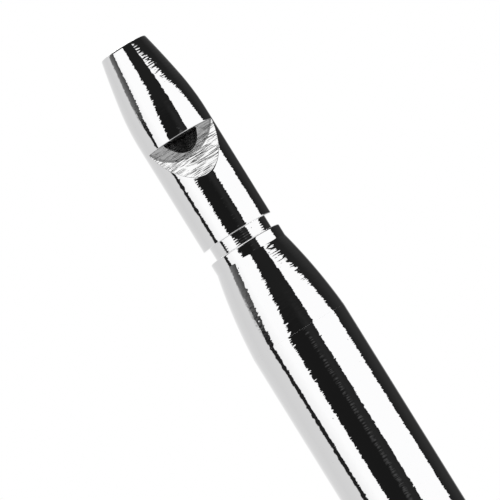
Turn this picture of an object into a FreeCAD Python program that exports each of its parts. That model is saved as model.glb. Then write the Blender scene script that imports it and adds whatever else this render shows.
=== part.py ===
import FreeCAD, Part
import math
import os

import Sketcher

# An adjustable silent training whistle. The axis is +Z with the mouth up, and the sound window faces -Y.
# The origin is on the axis, halfway down the straight barrel of the cap, where the whistle is held.
# Names ending in _at are distances down the axis from the mouth. Names ending in _rad are radii.
DIMENSIONS = {
    # whistle_barrel: head, threaded neck and inner sleeve in one turned piece
    "mouth_rad": 2.75,
    "mouth_round": 0.2,
    "taper_run": 5.0,
    "taper_rad": 3.63,
    "ogive_rad": 27.7,
    "ogive_at": 9.8,
    "head_rad": 4.05,
    "window_at": 11.0,
    "lip_at": 15.95,
    "window_foot": 1.4,
    "bore_rad": 2.4,
    "bore_run": 44.0,
    "shoulder_at": 22.5,
    "edge_break": 0.15,
    "neck_rad": 3.325,
    "neck_thread_at": 24.3,
    "neck_end_at": 31.0,
    "neck_pitch": 0.35,
    "neck_depth": 0.19,
    "sleeve_rad": 3.0,
    "sleeve_end_at": 48.0,
    # fipple_plug
    "plug_recess": 0.3,
    "windway_gap": 0.6,
    # tuning_piston and piston_seal
    "slide_gap": 0.05,
    "piston_at": 23.0,
    "piston_len": 5.0,
    "rivet_rad": 1.55,
    "rivet_thick": 0.6,
    "journal_rad": 1.0,
    "seal_wire_rad": 0.45,
    "seal_gap": 0.02,
    "seal_from_face": 2.6,
    # tuning_screw, tuning_knob and lock_nut
    "screw_rad": 1.5,
    "screw_pitch": 0.5,
    "screw_depth": 0.27,
    "thread_gap": 0.03,
    "thread_reach": 0.02,
    "thread_share": 0.86,
    "knob_at": 55.6,
    "knob_len": 6.0,
    "knob_rad": 2.6,
    "nut_gap": 0.05,
    "nut_len": 2.5,
    "nut_rad": 2.85,
    "knurl_depth": 0.18,
    "knurl_count": 32,
    "slot_width": 0.6,
    "slot_depth": 0.9,
    # cap_ferrule, cap_tube and tail_plug
    "ferrule_at": 23.9,
    "collar_rad": 4.1,
    "collar_end_at": 25.2,
    "flare_rad": 58.0,
    "stop_gap": 0.1,
    "stop_run": 2.0,
    "stop_rad": 3.1,
    "tube_at": 34.6,
    "tube_len": 39.4,
    "tube_rad": 5.5,
    "tube_bore_rad": 4.7,
    "spigot_len": 5.0,
    "spigot_bore_rad": 3.9,
    "flange_len": 0.8,
    "dome_rad": 4.2,
    "dome_len": 2.8,
    "stem_rad": 2.2,
    "ball_rad": 2.9,
    "ball_drop": 6.6,
    "eye_rad": 1.5,
    # split_ring: two coils of flat wire
    "ring_rad": 7.5,
    "wire_wide": 1.0,
    "wire_thick": 0.7,
    "coil_pitch": 0.72,
    "coil_count": 2,
}

OVERSIZE = 1.0          # how far a cutting sketch reaches past the stock, in mm

document = FreeCAD.newDocument("TrainingWhistle")
sheet = document.addObject("Spreadsheet::Sheet", "Dims")
for row, (alias, value) in enumerate(DIMENSIONS.items(), start=1):
    sheet.set(f"A{row}", alias)
    sheet.set(f"B{row}", str(value))
    sheet.setAlias(f"B{row}", alias)
document.recompute()


def at(distance):
    """Height of a station given by its distance down the axis from the mouth."""
    return f"(Dims.tube_at + Dims.tube_len / 2 - ({distance}))"


def value_of(expression):
    """The number that a formula of the sheet's dimensions gives now."""
    result = sheet.evalExpression(expression)
    return float(getattr(result, "Value", result))


def origin_plane(body, role):
    """The body's own origin plane that has this role."""
    return next(feature for feature in body.Origin.OriginFeatures if feature.Role == role)


def make_body(name):
    """An empty body whose label names the piece."""
    body = document.addObject("PartDesign::Body", name)
    body.Label = name
    return body


def coordinate(drawing, element, end, direction, formula):
    """Hold one coordinate of a point to a formula of the sheet's dimensions."""
    axis = {"DistanceX": -2, "DistanceY": -1}[direction]
    if formula == "0":
        drawing.addConstraint(Sketcher.Constraint("PointOnObject", element, end, axis))
        return
    held = drawing.addConstraint(Sketcher.Constraint(direction, -1, 1, element, end, value_of(formula)))
    drawing.setExpression(f"Constraints[{held}]", formula)


def new_sketch(body, name, role, offset="0"):
    """An empty sketch on one of the body's origin planes, moved along the plane's normal by a formula."""
    drawing = body.newObject("Sketcher::SketchObject", name)
    drawing.AttachmentSupport = [(origin_plane(body, role), "")]
    drawing.MapMode = "FlatFace"
    drawing.setExpression("AttachmentOffset.Base.z", offset)
    return drawing


def outline(body, name, role, corners, arcs=None, offset="0"):
    """A closed sketch through corners given as pairs of formulas.

    arcs maps a corner's number to the radius formula and turn of the stretch that starts there:
    "left" curves to the left of the way round, and "right" to the right.
    """
    arcs = arcs or {}
    drawing = new_sketch(body, name, role, offset)
    points = [FreeCAD.Vector(value_of(x), value_of(y), 0) for x, y in corners]
    starts = []
    ends = []
    for index, start in enumerate(points):
        end = points[(index + 1) % len(points)]
        if index not in arcs:
            drawing.addGeometry(Part.LineSegment(start, end))
            starts.append(1)
            ends.append(2)
            continue
        formula, turn = arcs[index]
        radius = value_of(formula)
        chord = end - start
        side = 1 if turn == "left" else -1
        to_centre = FreeCAD.Vector(-chord.y, chord.x, 0).normalize() * side
        centre = (start + end) * 0.5 + to_centre * math.sqrt(max(radius**2 - chord.Length**2 / 4, 0))
        first, last = (start, end) if side == 1 else (end, start)
        angles = [math.atan2(p.y - centre.y, p.x - centre.x) for p in (first, last)]
        circle = Part.Circle(centre, FreeCAD.Vector(0, 0, 1), radius)
        drawing.addGeometry(Part.ArcOfCircle(circle, *angles))
        held = drawing.addConstraint(Sketcher.Constraint("Radius", index, radius))
        drawing.setExpression(f"Constraints[{held}]", formula)
        starts.append(1 if side == 1 else 2)
        ends.append(2 if side == 1 else 1)
    for index, (x, y) in enumerate(corners):
        following = (index + 1) % len(corners)
        drawing.addConstraint(
            Sketcher.Constraint("Coincident", index, ends[index], following, starts[following])
        )
        coordinate(drawing, index, starts[index], "DistanceX", x)
        coordinate(drawing, index, starts[index], "DistanceY", y)
    return drawing


def round_hole(body, name, role, centre, radius, offset="0"):
    """A sketch of one circle, its centre given as a pair of formulas."""
    drawing = new_sketch(body, name, role, offset)
    point = FreeCAD.Vector(value_of(centre[0]), value_of(centre[1]), 0)
    drawing.addGeometry(Part.Circle(point, FreeCAD.Vector(0, 0, 1), value_of(radius)))
    coordinate(drawing, 0, 3, "DistanceX", centre[0])
    coordinate(drawing, 0, 3, "DistanceY", centre[1])
    held = drawing.addConstraint(Sketcher.Constraint("Radius", 0, value_of(radius)))
    drawing.setExpression(f"Constraints[{held}]", radius)
    return drawing


def turned(body, name, corners, arcs=None, kind="Revolution"):
    """Turn an outline drawn as (radius, height) about the axis: a Revolution adds and a Groove cuts."""
    feature = body.newObject(f"PartDesign::{kind}", name)
    feature.Profile = (outline(body, f"{name}_outline", "XZ_Plane", corners, arcs), [""])
    feature.ReferenceAxis = (feature.Profile[0], ["V_Axis"])
    feature.Angle = 360
    return feature


def cut_through(body, name, drawing):
    """Cut a sketch through the whole body, both ways from its plane."""
    feature = body.newObject("PartDesign::Pocket", name)
    feature.Profile = (drawing, [""])
    feature.Type = "ThroughAll"
    feature.Midplane = True
    return feature


def thread(body, name, radius, depth, pitch, foot, run):
    """Cut a male thread's V groove as a helix that climbs from a height, foot, by a length, run."""
    reach = f"({radius} + Dims.thread_reach)"
    width = f"{pitch} * Dims.thread_share * (1 + Dims.thread_reach / {depth})"
    corners = [
        (reach, foot),
        (reach, f"{foot} + {width}"),
        (f"{radius} - {depth}", f"{foot} + {width} / 2"),
    ]
    feature = body.newObject("PartDesign::SubtractiveHelix", name)
    feature.Profile = (outline(body, f"{name}_outline", "XZ_Plane", corners), [""])
    feature.ReferenceAxis = (feature.Profile[0], ["V_Axis"])
    feature.Mode = "pitch-height-angle"
    feature.setExpression("Pitch", pitch)
    feature.setExpression("Height", run)
    return feature


def knurl(body, name, radius):
    """Straight V grooves all round a grip."""
    half_width = "Dims.knurl_depth * 0.9"
    corners = [
        (half_width, f"{radius} + Dims.knurl_depth / 2"),
        ("0", f"{radius} - Dims.knurl_depth"),
        (f"-({half_width})", f"{radius} + Dims.knurl_depth / 2"),
    ]
    groove = cut_through(body, f"{name}_groove", outline(body, f"{name}_outline", "XY_Plane", corners))
    pattern = body.newObject("PartDesign::PolarPattern", name)
    pattern.Originals = [groove]
    pattern.Axis = (groove.Profile[0], ["N_Axis"])
    pattern.Angle = 360
    pattern.setExpression("Occurrences", "Dims.knurl_count")
    body.Tip = pattern
    return pattern


def whistle_barrel():
    """Head with the sound window, threaded neck and inner sleeve, bored from the mouth end."""
    body = make_body("whistle_barrel")
    corners = [
        ("Dims.bore_rad", at("0")),
        ("Dims.mouth_rad - Dims.mouth_round", at("0")),
        ("Dims.mouth_rad", at("Dims.mouth_round")),
        ("Dims.taper_rad", at("Dims.taper_run")),
        ("Dims.head_rad", at("Dims.ogive_at")),
        ("Dims.head_rad", at("Dims.shoulder_at - Dims.edge_break")),
        ("Dims.head_rad - Dims.edge_break", at("Dims.shoulder_at")),
        ("Dims.neck_rad", at("Dims.shoulder_at")),
        ("Dims.neck_rad", at("Dims.neck_end_at")),
        ("Dims.sleeve_rad", at("Dims.neck_end_at")),
        ("Dims.sleeve_rad", at("Dims.sleeve_end_at")),
        ("Dims.screw_rad + Dims.thread_gap", at("Dims.sleeve_end_at")),
        ("Dims.screw_rad + Dims.thread_gap", at("Dims.bore_run")),
        ("Dims.bore_rad", at("Dims.bore_run")),
    ]
    arcs = {1: ("Dims.mouth_round", "right"), 3: ("Dims.ogive_rad", "right")}
    turned(body, "barrel_turning", corners, arcs)
    deep = f"(Dims.head_rad + {OVERSIZE})"
    ramp_rise = "(Dims.head_rad - Dims.window_foot)"
    window = outline(body, "window_outline", "YZ_Plane", [
        ("-Dims.window_foot", at("Dims.window_at")),
        (f"-{deep}", at("Dims.window_at")),
        (f"-{deep}", at(f"Dims.window_at + (Dims.lip_at - Dims.window_at)"
                        f" * ({deep} - Dims.window_foot) / {ramp_rise}")),
    ])
    cut_through(body, "window", window)
    thread(body, "neck_thread", "Dims.neck_rad", "Dims.neck_depth", "Dims.neck_pitch",
           at("Dims.neck_end_at + Dims.neck_pitch"),
           "Dims.neck_end_at + Dims.neck_pitch - Dims.neck_thread_at")
    return body


def fipple_plug():
    """Plug pressed into the mouth, with a flat towards the window that leaves the windway."""
    body = make_body("fipple_plug")
    flat = "(Dims.bore_rad - Dims.windway_gap)"
    half = f"sqrt(Dims.bore_rad ^ 2 - {flat} ^ 2)"
    corners = [(f"-{half}", f"-{flat}"), (half, f"-{flat}"), ("0", "Dims.bore_rad")]
    arcs = {1: ("Dims.bore_rad", "left"), 2: ("Dims.bore_rad", "left")}
    pad = body.newObject("PartDesign::Pad", "plug_pad")
    pad.Profile = (outline(body, "plug_outline", "XY_Plane", corners, arcs, at("Dims.window_at")), [""])
    pad.setExpression("Length", "Dims.window_at - Dims.plug_recess")
    return body


def tuning_piston():
    """Piston that closes the sound chamber, with a seal groove and a seat for the screw's riveted tip."""
    body = make_body("tuning_piston")
    rim = "Dims.bore_rad - Dims.slide_gap"
    hole = "Dims.journal_rad + Dims.slide_gap"
    seat = "Dims.rivet_rad + Dims.slide_gap"
    seal = "Dims.piston_at + Dims.seal_from_face"
    floor = "Dims.bore_rad - Dims.seal_gap - 2 * Dims.seal_wire_rad - Dims.seal_gap"
    turned(body, "piston_turning", [
        (seat, at("Dims.piston_at")),
        (rim, at("Dims.piston_at")),
        (rim, at(f"{seal} - Dims.seal_wire_rad - Dims.slide_gap")),
        (floor, at(f"{seal} - Dims.seal_wire_rad - Dims.slide_gap")),
        (floor, at(f"{seal} + Dims.seal_wire_rad + Dims.slide_gap")),
        (rim, at(f"{seal} + Dims.seal_wire_rad + Dims.slide_gap")),
        (rim, at("Dims.piston_at + Dims.piston_len")),
        (hole, at("Dims.piston_at + Dims.piston_len")),
        (hole, at("Dims.piston_at + Dims.rivet_thick + Dims.slide_gap")),
        (seat, at("Dims.piston_at + Dims.rivet_thick + Dims.slide_gap")),
    ])
    return body


def piston_seal():
    """Rubber O-ring in the piston's groove."""
    body = make_body("piston_seal")
    wire = round_hole(body, "seal_section", "XZ_Plane",
                      ("Dims.bore_rad - Dims.seal_gap - Dims.seal_wire_rad",
                       at("Dims.piston_at + Dims.seal_from_face")), "Dims.seal_wire_rad")
    seal = body.newObject("PartDesign::Revolution", "seal_turning")
    seal.Profile = (wire, [""])
    seal.ReferenceAxis = (wire, ["V_Axis"])
    seal.Angle = 360
    return body


def tuning_screw():
    """Threaded rod whose plain tip turns in the piston, riveted over on the far side."""
    body = make_body("tuning_screw")
    shoulder = "Dims.piston_at + Dims.piston_len + Dims.slide_gap"
    rivet = "Dims.piston_at + Dims.rivet_thick"
    tail = "Dims.knob_at + Dims.knob_len - Dims.slot_depth"
    turned(body, "screw_turning", [
        ("0", at("Dims.piston_at")),
        ("Dims.rivet_rad - Dims.edge_break", at("Dims.piston_at")),
        ("Dims.rivet_rad", at("Dims.piston_at + Dims.edge_break")),
        ("Dims.rivet_rad", at(rivet)),
        ("Dims.journal_rad", at(rivet)),
        ("Dims.journal_rad", at(shoulder)),
        ("Dims.screw_rad", at(shoulder)),
        ("Dims.screw_rad", at(tail)),
        ("0", at(tail)),
    ])
    thread(body, "screw_thread", "Dims.screw_rad", "Dims.screw_depth", "Dims.screw_pitch",
           at("Dims.knob_at - Dims.screw_pitch"), f"Dims.knob_at - ({shoulder})")
    return body


def tuning_knob():
    """Knurled knob pressed on the screw's tail, with a slot for a coin."""
    body = make_body("tuning_knob")
    low = "Dims.knob_at + Dims.knob_len"
    turned(body, "knob_turning", [
        ("Dims.screw_rad", at("Dims.knob_at")),
        ("Dims.knob_rad - Dims.edge_break", at("Dims.knob_at")),
        ("Dims.knob_rad", at("Dims.knob_at + Dims.edge_break")),
        ("Dims.knob_rad", at(f"{low} - Dims.edge_break")),
        ("Dims.knob_rad - Dims.edge_break", at(low)),
        ("0", at(low)),
        ("0", at(f"{low} - Dims.slot_depth")),
        ("Dims.screw_rad", at(f"{low} - Dims.slot_depth")),
    ])
    knurl(body, "knob_knurl", "Dims.knob_rad")
    half = "Dims.slot_width / 2"
    wide = f"Dims.knob_rad + {OVERSIZE}"
    slot = outline(body, "slot_outline", "XY_Plane",
                   [(f"-({wide})", f"-{half}"), (wide, f"-{half}"), (wide, half), (f"-({wide})", half)],
                   offset=at(low))
    pocket = body.newObject("PartDesign::Pocket", "coin_slot")
    pocket.Profile = (slot, [""])
    pocket.Reversed = True
    pocket.setExpression("Length", "Dims.slot_depth")
    return body


def lock_nut():
    """Knurled nut that locks the screw against the sleeve's tail."""
    body = make_body("lock_nut")
    high = "Dims.sleeve_end_at + Dims.nut_gap"
    low = f"{high} + Dims.nut_len"
    turned(body, "nut_turning", [
        ("Dims.screw_rad + Dims.thread_gap", at(high)),
        ("Dims.nut_rad - Dims.edge_break", at(high)),
        ("Dims.nut_rad", at(f"{high} + Dims.edge_break")),
        ("Dims.nut_rad", at(f"{low} - Dims.edge_break")),
        ("Dims.nut_rad - Dims.edge_break", at(low)),
        ("Dims.screw_rad + Dims.thread_gap", at(low)),
    ])
    knurl(body, "nut_knurl", "Dims.nut_rad")
    return body


def cap_ferrule():
    """Flared front of the cap, bored to run on the neck's thread, with a spigot inside the tube."""
    body = make_body("cap_ferrule")
    run = "Dims.neck_rad + Dims.thread_gap"
    stop = "Dims.neck_end_at + Dims.stop_gap"
    tail = "Dims.tube_at + Dims.spigot_len"
    turned(body, "ferrule_turning", [
        (run, at("Dims.ferrule_at")),
        ("Dims.collar_rad - Dims.edge_break", at("Dims.ferrule_at")),
        ("Dims.collar_rad", at("Dims.ferrule_at + Dims.edge_break")),
        ("Dims.collar_rad", at("Dims.collar_end_at")),
        ("Dims.tube_rad", at("Dims.tube_at")),
        ("Dims.tube_bore_rad", at("Dims.tube_at")),
        ("Dims.tube_bore_rad", at(tail)),
        ("Dims.spigot_bore_rad", at(tail)),
        ("Dims.spigot_bore_rad", at(f"{stop} + Dims.stop_run")),
        ("Dims.stop_rad", at(f"{stop} + Dims.stop_run")),
        ("Dims.stop_rad", at(stop)),
        (run, at(stop)),
    ], {3: ("Dims.flare_rad", "right")})
    return body


def cap_tube():
    """Straight barrel of the cap, open at both ends."""
    body = make_body("cap_tube")
    turned(body, "tube_turning", [
        ("Dims.tube_bore_rad", at("Dims.tube_at")),
        ("Dims.tube_rad", at("Dims.tube_at")),
        ("Dims.tube_rad", at("Dims.tube_at + Dims.tube_len")),
        ("Dims.tube_bore_rad", at("Dims.tube_at + Dims.tube_len")),
    ])
    return body


def tail_plug():
    """Domed end of the cap, with a ball that is drilled across for the split ring."""
    body = make_body("tail_plug")
    top = "Dims.tube_at + Dims.tube_len"
    dome = f"{top} + Dims.flange_len"
    ball = f"{top} + Dims.ball_drop"
    seam = f"{ball} - sqrt(Dims.ball_rad ^ 2 - Dims.stem_rad ^ 2)"
    turned(body, "plug_turning", [
        ("0", at(f"{top} - Dims.spigot_len")),
        ("Dims.tube_bore_rad", at(f"{top} - Dims.spigot_len")),
        ("Dims.tube_bore_rad", at(top)),
        ("Dims.tube_rad", at(top)),
        ("Dims.tube_rad", at(dome)),
        ("Dims.stem_rad", at(f"{dome} + Dims.dome_len")),
        ("Dims.stem_rad", at(seam)),
        ("Dims.ball_rad", at(ball)),
        ("0", at(f"{ball} + Dims.ball_rad")),
    ], {4: ("Dims.dome_rad", "right"), 6: ("Dims.ball_rad", "right"), 7: ("Dims.ball_rad", "right")})
    cut_through(body, "ring_eye", round_hole(body, "eye_outline", "YZ_Plane", ("0", at(ball)), "Dims.eye_rad"))
    return body


def split_ring():
    """Split ring of two coils of flat wire, hanging through the ball's hole."""
    body = make_body("split_ring")
    inner = "(Dims.ring_rad - Dims.wire_wide / 2)"
    outer = "(Dims.ring_rad + Dims.wire_wide / 2)"
    first = "(-Dims.coil_pitch * Dims.coil_count / 2 - Dims.wire_thick / 2)"
    last = "(-Dims.coil_pitch * Dims.coil_count / 2 + Dims.wire_thick / 2)"
    section = outline(body, "wire_section", "YZ_Plane",
                      [(first, f"-{outer}"), (last, f"-{outer}"), (last, f"-{inner}"), (first, f"-{inner}")])
    coil = body.newObject("PartDesign::AdditiveHelix", "coil")
    coil.Profile = (section, [""])
    coil.ReferenceAxis = (section, ["H_Axis"])
    coil.Mode = "pitch-turns-angle"
    coil.setExpression("Pitch", "Dims.coil_pitch")
    coil.setExpression("Turns", "Dims.coil_count")
    body.setExpression("Placement.Base.z", at("Dims.tube_at + Dims.tube_len + Dims.ball_drop")
                       + " - Dims.ring_rad")
    return body


PIECES = [
    whistle_barrel, fipple_plug, tuning_piston, piston_seal, tuning_screw, tuning_knob,
    lock_nut, cap_ferrule, cap_tube, tail_plug, split_ring,
]

bodies = [make_piece() for make_piece in PIECES]
document.recompute()
for thing in document.Objects:
    if "Invalid" in thing.State or "Error" in thing.State:
        raise RuntimeError(f"{thing.Label} failed: {thing.State}")
for body in bodies:
    if body.Shape.isNull() or not body.Shape.isValid() or len(body.Shape.Solids) != 1:
        raise RuntimeError(f"{body.Label} isn't one valid solid")

os.makedirs("parts", exist_ok=True)
for body in bodies:
    body.Shape.exportStep(f"parts/{body.Label}.step")
    print(f"{body.Label}: {body.Shape.Volume:.2f} mm3")
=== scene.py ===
import logging
import math
from dataclasses import dataclass
from enum import Enum, IntEnum

import bmesh
import bpy
import numpy as np
from mathutils import Matrix, Vector


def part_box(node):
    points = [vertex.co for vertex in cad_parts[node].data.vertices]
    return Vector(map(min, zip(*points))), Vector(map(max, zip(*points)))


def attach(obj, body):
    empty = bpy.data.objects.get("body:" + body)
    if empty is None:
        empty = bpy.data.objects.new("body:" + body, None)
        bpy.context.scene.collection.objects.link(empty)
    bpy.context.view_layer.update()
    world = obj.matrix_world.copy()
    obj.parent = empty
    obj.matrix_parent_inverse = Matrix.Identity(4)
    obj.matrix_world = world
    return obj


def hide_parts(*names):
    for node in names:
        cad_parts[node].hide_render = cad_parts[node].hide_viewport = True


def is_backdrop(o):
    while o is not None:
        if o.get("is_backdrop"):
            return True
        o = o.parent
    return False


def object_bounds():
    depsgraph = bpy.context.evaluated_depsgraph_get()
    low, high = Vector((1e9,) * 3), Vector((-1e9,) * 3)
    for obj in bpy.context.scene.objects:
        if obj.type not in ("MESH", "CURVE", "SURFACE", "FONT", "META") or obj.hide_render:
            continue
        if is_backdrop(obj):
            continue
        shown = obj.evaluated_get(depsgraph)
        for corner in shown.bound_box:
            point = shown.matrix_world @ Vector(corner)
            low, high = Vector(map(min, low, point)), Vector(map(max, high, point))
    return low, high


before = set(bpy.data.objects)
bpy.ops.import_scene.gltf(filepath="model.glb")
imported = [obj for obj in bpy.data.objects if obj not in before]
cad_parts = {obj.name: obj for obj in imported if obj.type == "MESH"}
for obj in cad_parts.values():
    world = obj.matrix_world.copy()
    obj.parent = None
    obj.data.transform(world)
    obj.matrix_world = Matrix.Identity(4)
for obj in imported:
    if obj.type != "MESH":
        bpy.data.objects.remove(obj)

LOG = logging.getLogger("training_whistle")

MM = 0.001                      # one millimetre, in metres
TURN = 2.0 * math.pi
SHARP_ANGLE = math.radians(34.0)
HOLD = 0.25                     # where a side's last point stands before an eased corner, in easing radii
THREAD_V = 0.86                 # share of a thread's pitch that its V takes
VIEW_AZIMUTH = -7.5             # degrees round the axis from the window's side to the camera


class Travel(Enum):
    """The rigid bodies that the pieces ride on."""

    BARREL = "barrel"
    PISTON = "piston"
    SCREW = "screw"
    NUT = "nut"
    CAP = "cap"
    RING = "ring"


class Bend(Enum):
    """Which way a curved stretch of a turned outline swells."""

    OUT = 1
    IN = -1


class Skin(IntEnum):
    """Material numbers of the barrel's surfaces."""

    PLATE = 0
    MILLED = 1
    BRASS = 2
    # The bore's finish, whose colour is darkened with painted shade.
    BORE = 3


# ----------------------------------------------------------------------------------------------
# Surfaces
# ----------------------------------------------------------------------------------------------


def eased(corners: list[tuple[float, float, float]], steps: int = 5) -> np.ndarray:
    """Round the corners of an open outline.

    Each inner corner with an easing radius e is replaced by an arc that touches both of its sides:
    it starts e * tan(turn / 2) before the corner, where turn is the change of direction there. A quarter of e
    further out on either side stands one more point, which keeps the sides' shading straight.

    Args:
        corners: radius, height and easing radius of each corner, in millimetres.
        steps: stretches in each arc.

    Returns:
        The outline's points as an array of (radius, height), in millimetres.
    """
    spots = np.array([corner[:2] for corner in corners], float)
    runs = [spots[:1]]
    for index in range(1, len(corners) - 1):
        ease = corners[index][2]
        before = spots[index - 1] - spots[index]
        after = spots[index + 1] - spots[index]
        before, after = before / np.linalg.norm(before), after / np.linalg.norm(after)
        opening = math.acos(float(np.clip(before @ after, -1.0, 1.0)))
        if ease <= 0.0 or opening > math.pi - 1e-4:
            runs.append(spots[index : index + 1])
            continue
        reach = ease / math.tan(opening / 2.0)
        start, end = spots[index] + before * reach, spots[index] + after * reach
        middle = (before + after) / np.linalg.norm(before + after)
        centre = spots[index] + middle * ease / math.sin(opening / 2.0)
        share = np.linspace(0.0, 1.0, steps + 1)[:, None]
        arms = (start - centre) * (1.0 - share) + (end - centre) * share
        arc = centre + arms / np.linalg.norm(arms, axis=1, keepdims=True) * ease
        runs.extend([[start + before * ease * HOLD], arc, [end + after * ease * HOLD]])
    runs.append(spots[-1:])
    return np.vstack(runs)


def swell(
    start: tuple[float, float], end: tuple[float, float], radius: float, bend: Bend, steps: int = 24
) -> np.ndarray:
    """Points along a circular arc between two points of an outline.

    The centre lies on the chord's perpendicular, at the distance that gives the arc its radius. The points are
    the chord's points pushed out from the centre to that radius.

    Args:
        start: radius and height where the arc starts, in millimetres.
        end: radius and height where it ends.
        radius: the arc's own radius.
        bend: OUT if the metal swells away from the axis, IN if it hollows.
        steps: stretches in the arc.

    Returns:
        An array of (radius, height), from start to end.
    """
    first, last = np.array(start, float), np.array(end, float)
    chord = last - first
    length = float(np.linalg.norm(chord))
    across = np.array([-chord[1], chord[0]]) / length
    across = across if across[0] < 0 else -across
    centre = (first + last) / 2 + across * bend.value * math.sqrt(radius**2 - length**2 / 4)
    arms = first + np.linspace(0.0, 1.0, steps + 1)[:, None] * chord - centre
    return centre + arms / np.linalg.norm(arms, axis=1, keepdims=True) * radius


def turned(profile: np.ndarray, angles: np.ndarray) -> np.ndarray:
    """Turn an outline about the Z axis.

    A point is (radius * sin(angle), -radius * cos(angle), height), so angle 0 faces -Y and 90 degrees faces +X.

    Args:
        profile: (radius, height) rows, in millimetres.
        angles: angles of the columns, one row for all heights or one row for each.

    Returns:
        Points as rows by columns by 3, in millimetres.
    """
    angles = np.broadcast_to(angles, (len(profile), np.shape(angles)[-1]))
    radius, height = profile[:, :1], profile[:, 1:2]
    return np.stack(
        [radius * np.sin(angles), -radius * np.cos(angles), np.broadcast_to(height, angles.shape)], axis=-1
    )


def helical(
    radius: float, depth: float, pitch: float, low: float, high: float, angles: np.ndarray, steps: int = 10
) -> np.ndarray:
    """The outside of a right-hand male thread.

    Row n starts at low + n * pitch / steps and climbs one pitch in a turn, so each row follows the helix. Its
    radius falls by depth in a V that takes THREAD_V of the pitch, with the crest left flat. Heights beyond the
    thread's ends are held to them, where the V fades out over half a pitch.

    Args:
        radius: crest radius, in millimetres.
        depth: depth of the V.
        pitch: climb in one turn.
        low: height of the thread's lower end.
        high: height of its upper end.
        angles: angles of the columns, from 0 to a full turn.
        steps: rows in one pitch.

    Returns:
        Points as rows by columns by 3, from low to high.
    """
    count = int(math.ceil((high - low) / pitch)) + 1
    rows = np.arange(-steps, count * steps + 1)[:, None]
    height = low + (rows / steps + angles[None, :] / TURN) * pitch
    phase = np.abs((rows / steps) % 1.0 - 0.5) / (THREAD_V / 2.0)
    groove = depth * np.clip(1.0 - phase, 0.0, 1.0)
    fade = np.clip(np.minimum(height - low, high - height) / (pitch * 0.5), 0.0, 1.0)
    local = radius - groove * fade
    height = np.clip(height, low, high)
    return np.stack([local * np.sin(angles), -local * np.cos(angles), height], axis=-1)


class Shell:
    """A mesh put together from grids of points, welded where they meet."""

    def __init__(self) -> None:
        """Start with no grids."""
        self.points: list[np.ndarray] = []
        self.faces: list[np.ndarray] = []
        self.finishes: list[np.ndarray] = []
        self.count = 0

    def grid(self, points: np.ndarray, finish: int = 0) -> None:
        """Add a grid of four-sided faces.

        Face (i, j) joins the points (i, j), (i, j + 1), (i + 1, j + 1) and (i + 1, j).

        Args:
            points: rows by columns by 3, in millimetres.
            finish: number of the material slot.
        """
        rows, columns = points.shape[:2]
        index = np.arange(rows * columns).reshape(rows, columns) + self.count
        faces = np.stack([index[:-1, :-1], index[:-1, 1:], index[1:, 1:], index[1:, :-1]], axis=-1).reshape(-1, 4)
        self.points.append(points.reshape(-1, 3) * MM)
        self.faces.append(faces)
        self.finishes.append(np.full(len(faces), finish))
        self.count += rows * columns

    def build(self, name: str, weld: float = 2e-8) -> bpy.types.Object:
        """Make the object: weld the grids, drop empty faces, turn the faces outwards and smooth them.

        Args:
            name: the piece's name.
            weld: distance in metres under which two points become one.

        Returns:
            The object, linked to the scene and at the origin.
        """
        mesh = bpy.data.meshes.new(name)
        points, faces = np.vstack(self.points), np.vstack(self.faces)
        mesh.vertices.add(len(points))
        mesh.vertices.foreach_set("co", points.astype(np.float32).ravel())
        mesh.loops.add(faces.size)
        mesh.loops.foreach_set("vertex_index", faces.astype(np.int32).ravel())
        mesh.polygons.add(len(faces))
        mesh.polygons.foreach_set("loop_start", np.arange(0, faces.size, 4, dtype=np.int32))
        mesh.polygons.foreach_set("material_index", np.concatenate(self.finishes).astype(np.int32))
        mesh.update(calc_edges=True)
        work = bmesh.new()
        work.from_mesh(mesh)
        bmesh.ops.remove_doubles(work, verts=work.verts, dist=weld)
        bmesh.ops.dissolve_degenerate(work, edges=work.edges, dist=weld)
        bmesh.ops.recalc_face_normals(work, faces=work.faces)
        work.to_mesh(mesh)
        work.free()
        mesh.polygons.foreach_set("use_smooth", np.ones(len(mesh.polygons), bool))
        mesh.set_sharp_from_angle(angle=SHARP_ANGLE)
        mesh.update()
        piece = bpy.data.objects.new(name, mesh)
        bpy.context.scene.collection.objects.link(piece)
        return piece


def carved(piece: bpy.types.Object, cutter: bpy.types.Object, label: str) -> bpy.types.Object:
    """Cut one object out of another and throw the cutter away.

    Args:
        piece: the object that is cut.
        cutter: a closed object of the shape to take away.
        label: the cut's name.

    Returns:
        The same piece.

    Raises:
        RuntimeError: nothing was left, as happens where the piece's skin runs back over itself.
    """
    cut = piece.modifiers.new(label, "BOOLEAN")
    cut.operation, cut.solver, cut.object = "DIFFERENCE", "EXACT", cutter
    bpy.context.view_layer.update()
    finished = bpy.data.meshes.new_from_object(piece.evaluated_get(bpy.context.evaluated_depsgraph_get()))
    if not finished.polygons:
        raise RuntimeError(f"the cut {label} left {piece.name} without faces")
    piece.modifiers.clear()
    piece.data = finished
    bpy.data.objects.remove(cutter, do_unlink=True)
    finished.set_sharp_from_angle(angle=SHARP_ANGLE)
    return piece


def place(
    piece: bpy.types.Object, body: Travel, node: str, finishes: list[bpy.types.Material]
) -> bpy.types.Object:
    """Dress a piece and hand it to the frame: it rides on a body and stands for a node.

    Args:
        piece: the finished object.
        body: the body that it rides on.
        node: the node that it stands for.
        finishes: its materials, in the order of their numbers.

    Returns:
        The same object.
    """
    for finish in finishes:
        piece.data.materials.append(finish)
    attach(piece, body.value)
    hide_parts(node)
    LOG.info("%s: %d faces, rides on %s", piece.name, len(piece.data.polygons), body.value)
    return piece


def grey(tone: float) -> tuple[float, float, float, float]:
    """An opaque neutral colour of this brightness."""
    return (tone, tone, tone, 1.0)


def ring_of(columns: int) -> np.ndarray:
    """Angles of a full turn in equal steps, both ends included."""
    return np.linspace(0.0, TURN, columns + 1)


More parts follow.
